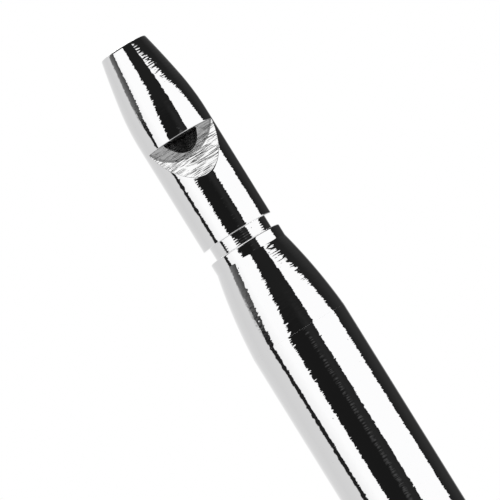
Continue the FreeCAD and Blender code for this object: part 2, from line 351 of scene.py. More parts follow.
def knurled(profile: np.ndarray, grip: float, depth: float, teeth: int, columns: int = 8) -> np.ndarray:
    """A turned outline whose grip carries straight V grooves.

    The groove's depth at an angle is depth * |2 * frac(teeth * angle / turn) - 1|, sharpened so that the ridges
    stay flat on top. A point's radius is the smaller of the outline's and the grooved grip's.

    Args:
        profile: (radius, height) rows, in millimetres.
        grip: radius of the ridges.
        depth: depth of the grooves.
        teeth: how many grooves go round.
        columns: columns in each groove's pitch.

    Returns:
        Points as rows by columns by 3.
    """
    angles = ring_of(teeth * columns)
    wave = np.abs(2.0 * ((teeth * angles / TURN) % 1.0) - 1.0)
    groove = depth * np.clip(1.6 * wave - 0.6, 0.0, 1.0)
    radius = np.minimum(profile[:, :1], np.where(profile[:, :1] > grip - 1.2 * depth, grip - groove, profile[:, :1]))
    height = np.broadcast_to(profile[:, 1:2], radius.shape)
    return np.stack([radius * np.sin(angles), -radius * np.cos(angles), height], axis=-1)


# ----------------------------------------------------------------------------------------------
# Finishes
# ----------------------------------------------------------------------------------------------


@dataclass(frozen=True)
class PolishedPlate:
    """Bright nickel plate on turned brass, buffed round the axis."""

    name: str = "polished_nickel_plate"
    tone: tuple[float, float, float, float] = (0.93, 0.93, 0.935, 1.0)
    roughness: float = 0.012
    buff_strength: float = 0.62
    ripple_height: float = 0.000007
    speck_strength: float = 0.35

    def make(self) -> bpy.types.Material:
        """Write the material node by node.

        Returns:
            The material, on Object coordinates.
        """
        material = bpy.data.materials.new(self.name)
        material.use_nodes = True
        nodes, links = material.node_tree.nodes, material.node_tree.links
        nodes.clear()

        place_frame = nodes.new("NodeFrame")
        place_frame.label = "Where on the piece"
        buff_frame = nodes.new("NodeFrame")
        buff_frame.label = "Buffing marks round the axis"
        speck_frame = nodes.new("NodeFrame")
        speck_frame.label = "Specks and pits in the plate"
        wear_frame = nodes.new("NodeFrame")
        wear_frame.label = "Handling haze"
        surface_frame = nodes.new("NodeFrame")
        surface_frame.label = "Nickel"

        coordinates = nodes.new("ShaderNodeTexCoord")
        coordinates.label = "Object coordinates in metres"
        coordinates.location = (-1500, 0)
        coordinates.parent = place_frame

        flatten = nodes.new("ShaderNodeMapping")
        flatten.label = "Draw the marks out round the axis"
        flatten.location = (-1250, 250)
        flatten.inputs["Scale"].default_value = (0.55, 0.55, 2.3)
        flatten.parent = buff_frame
        links.new(coordinates.outputs["Object"], flatten.inputs["Vector"])

        marks = nodes.new("ShaderNodeTexNoise")
        marks.label = "Fine buffing marks"
        marks.location = (-1000, 250)
        marks.inputs["Scale"].default_value = 1900.0
        marks.inputs["Detail"].default_value = 1.0
        marks.inputs["Roughness"].default_value = 0.4
        marks.parent = buff_frame
        links.new(flatten.outputs["Vector"], marks.inputs["Vector"])

        ripple = nodes.new("ShaderNodeTexNoise")
        ripple.label = "Faint waviness left by the buff"
        ripple.location = (-1000, 0)
        ripple.inputs["Scale"].default_value = 2600.0
        ripple.inputs["Detail"].default_value = 0.0
        ripple.parent = buff_frame
        links.new(coordinates.outputs["Object"], ripple.inputs["Vector"])

        pits = nodes.new("ShaderNodeTexVoronoi")
        pits.label = "Tiny pits"
        pits.location = (-1000, -250)
        pits.inputs["Scale"].default_value = 900.0
        pits.inputs["Randomness"].default_value = 1.0
        pits.parent = speck_frame
        links.new(coordinates.outputs["Object"], pits.inputs["Vector"])

        pit_size = nodes.new("ShaderNodeMapRange")
        pit_size.label = "Only the middle of a cell is a pit"
        pit_size.location = (-760, -250)
        pit_size.inputs["From Min"].default_value = 0.03
        pit_size.inputs["From Max"].default_value = 0.10
        pit_size.inputs["To Min"].default_value = 1.0
        pit_size.inputs["To Max"].default_value = 0.0
        pit_size.parent = speck_frame
        links.new(pits.outputs["Distance"], pit_size.inputs["Value"])

        pit_pick = nodes.new("ShaderNodeMath")
        pit_pick.label = "Few of the cells hold one"
        pit_pick.operation = "GREATER_THAN"
        pit_pick.location = (-760, -480)
        pit_pick.inputs[1].default_value = 0.9
        pit_pick.parent = speck_frame
        pit_tone = nodes.new("ShaderNodeSeparateColor")
        pit_tone.label = "A number for each cell"
        pit_tone.location = (-940, -520)
        pit_tone.parent = speck_frame
        links.new(pits.outputs["Color"], pit_tone.inputs["Color"])
        links.new(pit_tone.outputs["Red"], pit_pick.inputs[0])

        pit = nodes.new("ShaderNodeMath")
        pit.label = "Pits"
        pit.operation = "MULTIPLY"
        pit.location = (-540, -300)
        pit.parent = speck_frame
        links.new(pit_size.outputs["Result"], pit.inputs[0])
        links.new(pit_pick.outputs["Value"], pit.inputs[1])

        buff_bump = nodes.new("ShaderNodeBump")
        buff_bump.label = "Marks tilt the mirror a little"
        buff_bump.location = (-300, 200)
        buff_bump.inputs["Strength"].default_value = self.buff_strength
        buff_bump.inputs["Distance"].default_value = 0.00002
        buff_bump.parent = buff_frame
        links.new(marks.outputs["Fac"], buff_bump.inputs["Height"])

        ripple_bump = nodes.new("ShaderNodeBump")
        ripple_bump.label = "Waviness bends it a little"
        ripple_bump.location = (-300, 0)
        ripple_bump.inputs["Strength"].default_value = 1.0
        ripple_bump.inputs["Distance"].default_value = self.ripple_height
        ripple_bump.parent = buff_frame
        links.new(ripple.outputs["Fac"], ripple_bump.inputs["Height"])
        links.new(buff_bump.outputs["Normal"], ripple_bump.inputs["Normal"])

        pit_bump = nodes.new("ShaderNodeBump")
        pit_bump.label = "Pits dip"
        pit_bump.invert = True
        pit_bump.location = (-80, -200)
        pit_bump.inputs["Strength"].default_value = self.speck_strength
        pit_bump.inputs["Distance"].default_value = 0.00004
        pit_bump.parent = speck_frame
        links.new(pit.outputs["Value"], pit_bump.inputs["Height"])
        links.new(ripple_bump.outputs["Normal"], pit_bump.inputs["Normal"])

        haze = nodes.new("ShaderNodeTexNoise")
        haze.label = "Where fingers have dulled it"
        haze.location = (-760, 520)
        haze.inputs["Scale"].default_value = 90.0
        haze.inputs["Detail"].default_value = 4.0
        haze.parent = wear_frame
        links.new(coordinates.outputs["Object"], haze.inputs["Vector"])

        dulling = nodes.new("ShaderNodeMapRange")
        dulling.label = "Haze to roughness"
        dulling.location = (-520, 520)
        dulling.inputs["From Min"].default_value = 0.45
        dulling.inputs["From Max"].default_value = 0.8
        dulling.inputs["To Min"].default_value = self.roughness
        dulling.inputs["To Max"].default_value = self.roughness * 3.0
        dulling.parent = wear_frame
        links.new(haze.outputs["Fac"], dulling.inputs["Value"])

        nickel = nodes.new("ShaderNodeBsdfPrincipled")
        nickel.label = "Nickel plate"
        nickel.location = (180, 200)
        nickel.inputs["Base Color"].default_value = self.tone
        nickel.inputs["Metallic"].default_value = 1.0
        nickel.parent = surface_frame
        links.new(dulling.outputs["Result"], nickel.inputs["Roughness"])
        links.new(pit_bump.outputs["Normal"], nickel.inputs["Normal"])

        output = nodes.new("ShaderNodeOutputMaterial")
        output.label = "Surface"
        output.location = (460, 200)
        output.parent = surface_frame
        links.new(nickel.outputs["BSDF"], output.inputs["Surface"])
        return material


@dataclass(frozen=True)
class CutMetal:
    """Metal left as the tool cut it: brass inside the whistle, or plated over at the sound window. Its grooves are
    painted darker: painted shade in the tool marks.
    """

    name: str
    tone: tuple[float, float, float, float]
    dull_tone: tuple[float, float, float, float]
    stretch: tuple[float, float, float]
    scale: float
    roughness: float
    depth: float
    detail: float = 5.0
    # groove: brightness left in the grooves; below 1 it paints them darker, as painted shade in the tool marks.
    groove: float = 0.85
    groove_floor: float = 0.2
    land: float = 0.8
    # line: span of the marks' noise over which that painted groove shade fades in.
    line: tuple[float, float] = (0.36, 0.5)

    def make(self) -> bpy.types.Material:
        """Write the material node by node.

        Returns:
            The material, on Object coordinates.
        """
        material = bpy.data.materials.new(self.name)
        material.use_nodes = True
        nodes, links = material.node_tree.nodes, material.node_tree.links
        nodes.clear()

        tool_frame = nodes.new("NodeFrame")
        tool_frame.label = "Tool marks"
        # This frame holds the tarnish and also the painted shade in the grooves.
        stain_frame = nodes.new("NodeFrame")
        stain_frame.label = "Tarnish"
        surface_frame = nodes.new("NodeFrame")
        surface_frame.label = "Metal"

        coordinates = nodes.new("ShaderNodeTexCoord")
        coordinates.label = "Object coordinates in metres"
        coordinates.location = (-1200, 0)
        coordinates.parent = tool_frame

        draw_out = nodes.new("ShaderNodeMapping")
        draw_out.label = "Draw the marks out along the cut"
        draw_out.location = (-980, 0)
        draw_out.inputs["Scale"].default_value = self.stretch
        draw_out.parent = tool_frame
        links.new(coordinates.outputs["Object"], draw_out.inputs["Vector"])

        marks = nodes.new("ShaderNodeTexNoise")
        marks.label = "Tool marks"
        marks.location = (-760, 0)
        marks.inputs["Scale"].default_value = self.scale
        marks.inputs["Detail"].default_value = self.detail
        marks.inputs["Roughness"].default_value = 0.65
        marks.parent = tool_frame
        links.new(draw_out.outputs["Vector"], marks.inputs["Vector"])

        cut = nodes.new("ShaderNodeMapRange")
        cut.label = "Lands between the grooves"
        cut.location = (-520, -80)
        cut.inputs["From Min"].default_value = self.groove_floor
        cut.inputs["From Max"].default_value = self.land
        cut.parent = tool_frame
        links.new(marks.outputs["Fac"], cut.inputs["Value"])

        bump = nodes.new("ShaderNodeBump")
        bump.label = "Marks stand out"
        bump.location = (-260, -150)
        bump.inputs["Strength"].default_value = 1.0
        bump.inputs["Distance"].default_value = self.depth
        bump.parent = tool_frame
        links.new(cut.outputs["Result"], bump.inputs["Height"])

        roughening = nodes.new("ShaderNodeMapRange")
        roughening.label = "Deep marks scatter more"
        roughening.location = (-520, -250)
        roughening.inputs["To Min"].default_value = self.roughness * 1.4
        roughening.inputs["To Max"].default_value = self.roughness * 0.7
        roughening.parent = tool_frame
        links.new(marks.outputs["Fac"], roughening.inputs["Value"])

        patches = nodes.new("ShaderNodeTexNoise")
        patches.label = "Patches of tarnish"
        patches.location = (-760, 300)
        patches.inputs["Scale"].default_value = 320.0
        patches.inputs["Detail"].default_value = 4.0
        patches.parent = stain_frame
        links.new(coordinates.outputs["Object"], patches.inputs["Vector"])

        stain = nodes.new("ShaderNodeValToRGB")
        stain.label = "Bright to dull"
        stain.location = (-520, 300)
        stain.color_ramp.elements[0].position = 0.4
        stain.color_ramp.elements[0].color = self.tone
        stain.color_ramp.elements[1].position = 0.72
        stain.color_ramp.elements[1].color = self.dull_tone
        stain.parent = stain_frame
        links.new(patches.outputs["Fac"], stain.inputs["Fac"])

        # Painted shade: the grooves of the tool marks are painted darker in the colour.
        grooves = nodes.new("ShaderNodeMapRange")
        grooves.label = "Grooves are darker"
        grooves.location = (-520, 60)
        grooves.inputs["From Min"].default_value = self.line[0]
        grooves.inputs["From Max"].default_value = self.line[1]
        grooves.inputs["To Min"].default_value = self.groove
        grooves.inputs["To Max"].default_value = 1.0
        grooves.parent = stain_frame
        links.new(marks.outputs["Fac"], grooves.inputs["Value"])

        # Tarnish patches times the painted groove shade.
        tarnish_and_groove_shade = nodes.new("ShaderNodeMix")
        tarnish_and_groove_shade.label = "Tarnish with dark grooves"
        tarnish_and_groove_shade.data_type = "RGBA"
        tarnish_and_groove_shade.blend_type = "MULTIPLY"
        tarnish_and_groove_shade.location = (-260, 200)
        tarnish_and_groove_shade.inputs["Factor"].default_value = 1.0
        tarnish_and_groove_shade.parent = stain_frame
        links.new(stain.outputs["Color"], tarnish_and_groove_shade.inputs["A"])
        links.new(grooves.outputs["Result"], tarnish_and_groove_shade.inputs["B"])

        metal = nodes.new("ShaderNodeBsdfPrincipled")
        metal.label = "Cut metal"
        metal.location = (0, 100)
        metal.inputs["Metallic"].default_value = 1.0
        metal.parent = surface_frame
        links.new(tarnish_and_groove_shade.outputs["Result"], metal.inputs["Base Color"])
        links.new(roughening.outputs["Result"], metal.inputs["Roughness"])
        links.new(bump.outputs["Normal"], metal.inputs["Normal"])

        output = nodes.new("ShaderNodeOutputMaterial")
        output.label = "Surface"
        output.location = (300, 100)
        output.parent = surface_frame
        links.new(metal.outputs["BSDF"], output.inputs["Surface"])
        return material


@dataclass(frozen=True)
class SealRubber:
    """Black moulded rubber with a faint bloom."""

    name: str = "black_seal_rubber"

    def make(self) -> bpy.types.Material:
        """Write the material node by node.

        Returns:
            The material, on Object coordinates.
        """
        material = bpy.data.materials.new(self.name)
        material.use_nodes = True
        nodes, links = material.node_tree.nodes, material.node_tree.links
        nodes.clear()

        bloom_frame = nodes.new("NodeFrame")
        bloom_frame.label = "Bloom and moulding grain"
        surface_frame = nodes.new("NodeFrame")
        surface_frame.label = "Rubber"

        coordinates = nodes.new("ShaderNodeTexCoord")
        coordinates.label = "Object coordinates in metres"
        coordinates.location = (-900, 0)
        coordinates.parent = bloom_frame

        grain = nodes.new("ShaderNodeTexNoise")
        grain.label = "Moulding grain"
        grain.location = (-680, 0)
        grain.inputs["Scale"].default_value = 6000.0
        grain.inputs["Detail"].default_value = 3.0
        grain.parent = bloom_frame
        links.new(coordinates.outputs["Object"], grain.inputs["Vector"])

        bloom = nodes.new("ShaderNodeValToRGB")
        bloom.label = "Grey bloom on black"
        bloom.location = (-440, 120)
        bloom.color_ramp.elements[0].position = 0.4
        bloom.color_ramp.elements[0].color = (0.012, 0.012, 0.013, 1.0)
        bloom.color_ramp.elements[1].position = 0.8
        bloom.color_ramp.elements[1].color = (0.04, 0.04, 0.042, 1.0)
        bloom.parent = bloom_frame
        links.new(grain.outputs["Fac"], bloom.inputs["Fac"])

        bump = nodes.new("ShaderNodeBump")
        bump.label = "Grain stands out"
        bump.location = (-240, -160)
        bump.inputs["Strength"].default_value = 0.5
        bump.inputs["Distance"].default_value = 0.00001
        bump.parent = bloom_frame
        links.new(grain.outputs["Fac"], bump.inputs["Height"])

        rubber = nodes.new("ShaderNodeBsdfPrincipled")
        rubber.label = "Rubber"
        rubber.location = (0, 80)
        rubber.inputs["Roughness"].default_value = 0.55
        rubber.inputs["Specular IOR Level"].default_value = 0.4
        rubber.parent = surface_frame
        links.new(bloom.outputs["Color"], rubber.inputs["Base Color"])
        links.new(bump.outputs["Normal"], rubber.inputs["Normal"])

        output = nodes.new("ShaderNodeOutputMaterial")
        output.label = "Surface"
        output.location = (280, 80)
        output.parent = surface_frame
        links.new(rubber.outputs["BSDF"], output.inputs["Surface"])
        return material


@dataclass(frozen=True)
class PaleFloor:
    """Plain matt floor with a faint mottling, which melts into the white room at its edge."""

    radius: float
    name: str = "pale_floor"

    def make(self) -> bpy.types.Material:
        """Write the material node by node.

        Returns:
            The material, on Object coordinates.
        """
        material = bpy.data.materials.new(self.name)
        material.use_nodes = True
        nodes, links = material.node_tree.nodes, material.node_tree.links
        nodes.clear()

        mottle_frame = nodes.new("NodeFrame")
        mottle_frame.label = "Mottling"
        surface_frame = nodes.new("NodeFrame")
        surface_frame.label = "Floor"

        coordinates = nodes.new("ShaderNodeTexCoord")
        coordinates.label = "Object coordinates in metres"
        coordinates.location = (-800, 0)
        coordinates.parent = mottle_frame

        mottle = nodes.new("ShaderNodeTexNoise")
        mottle.label = "Faint mottling"
        mottle.location = (-580, 0)
        mottle.inputs["Scale"].default_value = 6.0
        mottle.inputs["Detail"].default_value = 2.0
        mottle.parent = mottle_frame
        links.new(coordinates.outputs["Object"], mottle.inputs["Vector"])

        tones = nodes.new("ShaderNodeValToRGB")
        tones.label = "Two near whites"
        tones.location = (-340, 0)
        tones.color_ramp.elements[0].color = grey(0.86)
        tones.color_ramp.elements[1].color = grey(0.9)
        tones.parent = mottle_frame
        links.new(mottle.outputs["Fac"], tones.inputs["Fac"])

        matt = nodes.new("ShaderNodeBsdfPrincipled")
        matt.label = "Matt floor"
        matt.location = (-60, 0)
        matt.inputs["Roughness"].default_value = 0.9
        matt.parent = surface_frame
        links.new(tones.outputs["Color"], matt.inputs["Base Color"])

        distance = nodes.new("ShaderNodeVectorMath")
        distance.label = "Distance from the axis"
        distance.operation = "LENGTH"
        distance.location = (-580, -300)
        distance.parent = surface_frame
        flat = nodes.new("ShaderNodeMapping")
        flat.label = "Leave the height out"
        flat.inputs["Scale"].default_value = (1.0, 1.0, 0.0)
        flat.location = (-800, -300)
        flat.parent = surface_frame
        links.new(coordinates.outputs["Object"], flat.inputs["Vector"])
        links.new(flat.outputs["Vector"], distance.inputs[0])

        fade = nodes.new("ShaderNodeMapRange")
        fade.label = "Fade towards the rim"
        fade.interpolation_type = "SMOOTHSTEP"
        fade.inputs["From Min"].default_value = self.radius * 0.2
        fade.inputs["From Max"].default_value = self.radius * 0.98
        fade.location = (-340, -300)
        fade.parent = surface_frame
        links.new(distance.outputs["Value"], fade.inputs["Value"])

        clear = nodes.new("ShaderNodeBsdfTransparent")
        clear.label = "Nothing past the rim"
        clear.location = (-60, -260)
        clear.parent = surface_frame

        melt = nodes.new("ShaderNodeMixShader")
        melt.label = "Floor into the room"
        melt.location = (160, 0)
        melt.parent = surface_frame
        links.new(fade.outputs["Result"], melt.inputs["Fac"])
        links.new(matt.outputs["BSDF"], melt.inputs[1])
        links.new(clear.outputs["BSDF"], melt.inputs[2])

        output = nodes.new("ShaderNodeOutputMaterial")
        output.label = "Surface"
        output.location = (380, 0)
        output.parent = surface_frame
        links.new(melt.outputs["Shader"], output.inputs["Surface"])
        return material


class Finishes:
    """Every finish of the whistle, made once."""

    def __init__(self) -> None:
        """Make the materials."""
        self.plate = PolishedPlate().make()
        # groove=0.7 paints the ramp's milled lines darker, as painted shade in the tool marks.
        self.milled = CutMetal(
            "milled_window", grey(0.96), grey(0.88), (0.085, 1.0, 1.0), 6200.0, 0.035, 0.00003,
            detail=1.5, groove=0.7, groove_floor=0.28, land=0.5, line=(0.33, 0.43),
        ).make()
        # The bore's colour, grey 0.5 and 0.3, is painted shade for the dark, poorly lit bore, not the metal's own tone.
        self.bore = CutMetal(
            "drilled_bore_painted_shade", grey(0.5), grey(0.3), (0.06, 0.06, 1.0), 4200.0, 0.4, 0.00001
        ).make()
        self.brass = CutMetal(
            "turned_brass", (0.83, 0.62, 0.30, 1.0), (0.58, 0.40, 0.18, 1.0), (0.06, 0.06, 1.0), 4200.0, 0.24, 0.00001
        ).make()
        # The plug's colour is painted dark grey: painted shade for the plug end that sits in the poorly lit bore.
        self.plug_brass = CutMetal(
            "dull_plug_painted_shade", (0.34, 0.335, 0.33, 1.0), (0.2, 0.197, 0.19, 1.0), (1.0, 1.0, 0.08), 4200.0, 0.36, 0.00001
        ).make()
        self.wire = CutMetal(
            "drawn_ring_wire", (0.80, 0.80, 0.80, 1.0), (0.62, 0.62, 0.63, 1.0), (0.5, 0.1, 0.5), 3800.0, 0.14, 0.000006
        ).make()
        self.rubber = SealRubber().make()


# ----------------------------------------------------------------------------------------------
# Pieces. Sizes are millimetres; heights are counted down the axis from the mouth.
# ----------------------------------------------------------------------------------------------


@dataclass
class OnAxis:
    """A group of pieces turned about the whistle's axis and measured down from its mouth."""

    finishes: Finishes
    mouth: float

    def at(self, depth: float) -> float:
        """Height of a station that lies this far below the mouth."""
        return self.mouth - depth


@dataclass
class Barrel(OnAxis):
    """Head with its sound window, threaded neck and sleeve, and the plug pressed in the mouth."""

    mouth_radius: float = 2.69
    mouth_round: float = 0.04
    mouth_bevel: float = 0.15
    taper_run: float = 5.0
    nose_radius: float = 101.0
    taper_radius: float = 3.63
    ogive_radius: float = 27.7
    ogive_end: float = 9.8
    head_radius: float = 4.05
    window: float = 11.0
    lip: float = 15.95
    foot: float = 1.4
    roll: float = 0.11
    bore_radius: float = 2.4
    bore_run: float = 44.0
    shoulder: float = 22.5
    neck_radius: float = 3.325
    thread_start: float = 24.3
    line_pitch: float = 0.26
    line_depth: float = 0.011
    neck_end: float = 31.0
    neck_pitch: float = 0.35
    neck_depth: float = 0.19
    sleeve_radius: float = 3.0
    sleeve_end: float = 48.0
    hole_radius: float = 1.53
    windway: float = 0.6
    plug_recess: float = 0.3
    plug_chamfer: float = 0.08
    columns: int = 160
    window_columns: int = 64
    # Rows along the window wall's outer edge that take the bore's painted-dark finish.
    dark_edge_rows: int = 2
    bore_rows: int = 12
    lip_rows: int = 28

    def split_angles(self, half: float) -> np.ndarray:
        """Angles of a full turn, with window_columns steps inside a slot and columns steps round the rest.

        Args:
            half: half the angle that the slot takes.

        Returns:
            The angles, from -half round to TURN - half.
        """
        slot = np.linspace(-half, half, self.window_columns + 1)
        return np.concatenate([slot[:-1], self.rest_angles(np.array([half]))[0]])

    def rest_angles(self, half: np.ndarray) -> np.ndarray:
        """Angles round the metal beside a slot, one row for each half angle."""
        share = np.linspace(0.0, 1.0, self.columns + 1)[None, :]
        return half[:, None] + share * (TURN - 2.0 * half[:, None])

    def ramp_height(self, reach: np.ndarray) -> np.ndarray:
        """Height of the ramp where it stands this far in front of the axis.

        The ramp is a plane: it runs from foot at the window's wall to the head's radius at the lip.
        """
        share = (reach - self.foot) / (self.head_radius - self.foot)
        return self.at(self.window) - share * (self.lip - self.window)

    def slot_half(self) -> float:
        """Half the angle that the window takes at its wall."""
        return math.acos(self.foot / self.head_radius)

    def roll_at(self, angles: np.ndarray) -> np.ndarray:
        """How far the window's buffed edge reaches at an angle from its middle.

        It is roll * sqrt(1 - (angle / half)^2) inside the window, so it dies away at the corners, and 0 outside.
        """
        return self.roll * np.sqrt(np.clip(1.0 - (angles / self.slot_half()) ** 2, 0.0, None))

    def ramp_reach(self, halves: np.ndarray) -> np.ndarray:
        """How far in front of the axis the ramp's flat ends, at the height where its edge is at this angle."""
        tilt = math.atan2(self.lip - self.window, self.head_radius - self.foot)
        return self.head_radius * np.cos(halves) - self.roll_at(halves) * math.cos(tilt)

    def ramp_stations(self) -> np.ndarray:
        """Angles of the ramp's edge, one for each row, from the wall to the lip. The bore ends at row bore_rows."""
        trial = np.linspace(self.slot_half(), 0.0, 4001)
        meet = float(np.interp(self.bore_radius, self.ramp_reach(trial), trial))
        beside_bore = np.linspace(self.slot_half(), meet, self.bore_rows + 1)
        return np.concatenate([beside_bore, np.linspace(meet, 0.0, self.lip_rows + 1)[1:]])

    def wall_edge(self, angles: np.ndarray, steps: int = 6) -> np.ndarray:
        """Rows of the rounded edge between the skin and the window's wall.

        Row k stands at sweep = k / steps of a quarter turn: its radius is the head's less roll * (1 - cos(sweep)),
        and it is roll * (1 - sin(sweep)) above the wall.
        """
        sweep = np.linspace(0.0, math.pi / 2.0, steps + 1)[:, None]
        around = (angles + math.pi) % TURN - math.pi
        roll = self.roll_at(around)[None, :]
        radius = self.head_radius - roll * (1.0 - np.cos(sweep))
        height = self.at(self.window) + roll * (1.0 - np.sin(sweep))
        return np.stack([radius * np.sin(angles), -radius * np.cos(angles), height], axis=-1)

    def outside(self, shell: Shell) -> None:
        """Skin of the head down to the shoulder, open at the window."""
        bevel_foot = (self.mouth_radius, self.at(self.mouth_bevel))
        nose = swell(bevel_foot, (self.taper_radius, self.at(self.taper_run)), self.nose_radius, Bend.OUT)
        mouth = eased([
            (self.bore_radius, self.at(0.0), 0.0),
            (self.mouth_radius - self.mouth_bevel / 3.0, self.at(0.0), self.mouth_round),
            (*bevel_foot, 0.06),
            (*nose[1], 0.0),
        ])
        ogive = swell(
            (self.taper_radius, self.at(self.taper_run)),
            (self.head_radius, self.at(self.ogive_end)),
            self.ogive_radius,
            Bend.OUT,
        )
        angles = self.split_angles(self.slot_half())
        skin = turned(np.vstack([mouth, nose[2:], ogive[1:]]), angles)
        shell.grid(np.concatenate([skin, self.wall_edge(angles)]))

        halves = self.ramp_stations()
        heights = self.ramp_height(self.head_radius * np.cos(halves)) - self.roll_at(halves)
        profile = np.stack([np.full(len(halves), self.head_radius), heights], axis=-1)
        shell.grid(turned(profile, self.rest_angles(halves)))

        below = eased([
            (self.head_radius, self.at(self.lip) - self.roll, 0.0),
            (self.head_radius, self.at(self.shoulder), 0.13),
            (self.neck_radius, self.at(self.shoulder), 0.0),
        ])
        shell.grid(turned(below, ring_of(self.columns)))

    def turning_lines(self) -> np.ndarray:
        """Outline of the plain neck above the thread.

        The tool's feed leaves waves: the radius dips by depth * (1 - cos(turn * drop / pitch)) / 2, where drop is
        the distance below the shoulder. They are deepest half way down and fade out at both ends.
        """
        run = self.thread_start - self.shoulder
        drop = np.linspace(0.0, run, 127)
        dip = self.line_depth * np.sin(math.pi * drop / run) * (1.0 - np.cos(TURN * drop / self.line_pitch)) / 2.0
        return np.stack([self.neck_radius - dip, self.at(self.shoulder + drop)], axis=-1)

    def cut_faces(self, shell: Shell) -> None:
        """Wall and ramp of the window, and the buffed edge between the ramp and the skin.

        The wall's outermost rows take the bore's dull finish, whose darkened colour is painted shade; they show as a
        dark line along the wall's outer edge.
        The edge is a strip of the curve (1 - t)^2 S + 2 t (1 - t) P + t^2 Q, where S lies on the skin, Q on the
        ramp and P where the two would meet.
        """
        share = np.linspace(0.0, 1.0, self.window_columns + 1)
        rim = self.wall_edge((2.0 * share - 1.0) * self.slot_half())[-1]
        inner = (2.0 * share - 1.0) * math.acos(self.foot / self.bore_radius)
        mouth = turned(np.array([[self.bore_radius, self.at(self.window)]]), inner)[0]
        across = np.linspace(0.0, 1.0, 17)[:, None, None]
        wall = rim[None] * (1.0 - across) + mouth[None] * across
        # Painted shade: the wall's outer rows take the bore's darkened finish, a dark line along the edge.
        shell.grid(wall[: self.dark_edge_rows + 1], finish=Skin.BORE)
        shell.grid(wall[self.dark_edge_rows :], finish=Skin.MILLED)

        halves = self.ramp_stations()
        reach = self.ramp_reach(halves)
        width = self.head_radius * np.sin(halves)
        hole = np.sqrt(np.clip(self.bore_radius**2 - reach**2, 0.0, None))
        hole[self.bore_rows :] = 0.0
        share = np.linspace(0.0, 1.0, 17)[None, :]
        x = width[:, None] * (1.0 - share) + hole[:, None] * share
        y = np.broadcast_to(-reach[:, None], x.shape)
        z = np.broadcast_to(self.ramp_height(reach)[:, None], x.shape)
        edge = self.head_radius * np.cos(halves)
        corner = np.stack([width, -edge, self.ramp_height(edge)], axis=-1)
        skin = corner - self.roll_at(halves)[:, None] * np.array([0.0, 0.0, 1.0])
        flat = np.stack([width, -reach, self.ramp_height(reach)], axis=-1)
        step = np.linspace(0.0, 1.0, 6)[:, None, None]
        strip = (1.0 - step) ** 2 * skin + 2.0 * step * (1.0 - step) * corner + step**2 * flat
        for side in (-1.0, 1.0):
            mirror = np.array([side, 1.0, 1.0])
            shell.grid(np.stack([x, y, z], axis=-1) * mirror, finish=Skin.MILLED)
            shell.grid(strip * mirror)

    def inside(self, shell: Shell) -> None:
        """Bore from the mouth to its end wall, and the screw's hole through the wall."""
        bore_half = math.acos(self.foot / self.bore_radius)
        top = np.array([[self.bore_radius, self.at(0.0)], [self.bore_radius, self.at(self.window)]])
        shell.grid(turned(top, self.split_angles(bore_half)), finish=Skin.BORE)

        reach = self.ramp_reach(self.ramp_stations()[: self.bore_rows + 1])
        reach[-1] = self.bore_radius
        profile = np.stack([np.full(len(reach), self.bore_radius), self.ramp_height(reach)], axis=-1)
        halves = np.arccos(np.clip(reach / self.bore_radius, -1.0, 1.0))
        shell.grid(turned(profile, self.rest_angles(halves)), finish=Skin.BORE)

        lower = np.array([
            [self.bore_radius, float(self.ramp_height(np.array(self.bore_radius)))],
            [self.bore_radius, self.at(self.bore_run)],
            [self.hole_radius, self.at(self.bore_run)],
            [self.hole_radius, self.at(self.sleeve_end)],
        ])
        shell.grid(turned(lower, ring_of(self.columns)), finish=Skin.BORE)

    def neck(self, shell: Shell) -> None:
        """Plain neck with its turning lines, the thread below it and the sleeve."""
        shell.grid(turned(self.turning_lines(), ring_of(self.columns)))
        thread = helical(
            self.neck_radius, self.neck_depth, self.neck_pitch, self.at(self.neck_end), self.at(self.thread_start),
            ring_of(self.columns),
        )
        shell.grid(thread)
        sleeve = eased([
            (self.neck_radius, self.at(self.neck_end), 0.0),
            (self.sleeve_radius, self.at(self.neck_end), 0.05),
            (self.sleeve_radius, self.at(self.sleeve_end), 0.1),
            (self.hole_radius, self.at(self.sleeve_end), 0.0),
        ])
        shell.grid(turned(sleeve, ring_of(self.columns)), finish=Skin.BRASS)

    def plug(self) -> bpy.types.Object:
        """Plug with a flat on its window side.

        Its section is the circle r = bore radius, cut where r * cos(angle) passes the flat.
        """
        radius, flat = self.bore_radius - 0.005, self.bore_radius - self.windway
        cut = math.acos(flat / radius)
        arc = np.linspace(cut, TURN - cut, 97)
        chord = np.linspace(-1.0, 1.0, 17)[1:-1] * radius * math.sin(cut)
        section = np.vstack([
            np.stack([radius * np.sin(arc), -radius * np.cos(arc)], axis=-1),
            np.stack([chord, np.full(len(chord), -flat)], axis=-1),
        ])
        section = np.vstack([section, section[:1]])
        chamfer = self.plug_chamfer
        levels = [
            (0.0, self.plug_recess), (1.0 - chamfer / radius, self.plug_recess),
            (1.0, self.plug_recess + chamfer), (1.0, self.window),
            (0.0, self.window),
        ]
        rows = [np.column_stack([section * size, np.full(len(section), self.at(depth))]) for size, depth in levels]
        shell = Shell()
        shell.grid(np.stack(rows))
        return shell.build("fipple_plug_body")

    def build(self) -> None:
        """Make the barrel and its plug."""
        shell = Shell()
        self.outside(shell)
        self.cut_faces(shell)
        self.inside(shell)
        self.neck(shell)
        look = [self.finishes.plate, self.finishes.milled, self.finishes.brass, self.finishes.bore]
        place(shell.build("barrel_body"), Travel.BARREL, "whistle_barrel", look)
        place(self.plug(), Travel.BARREL, "fipple_plug", [self.finishes.plug_brass])


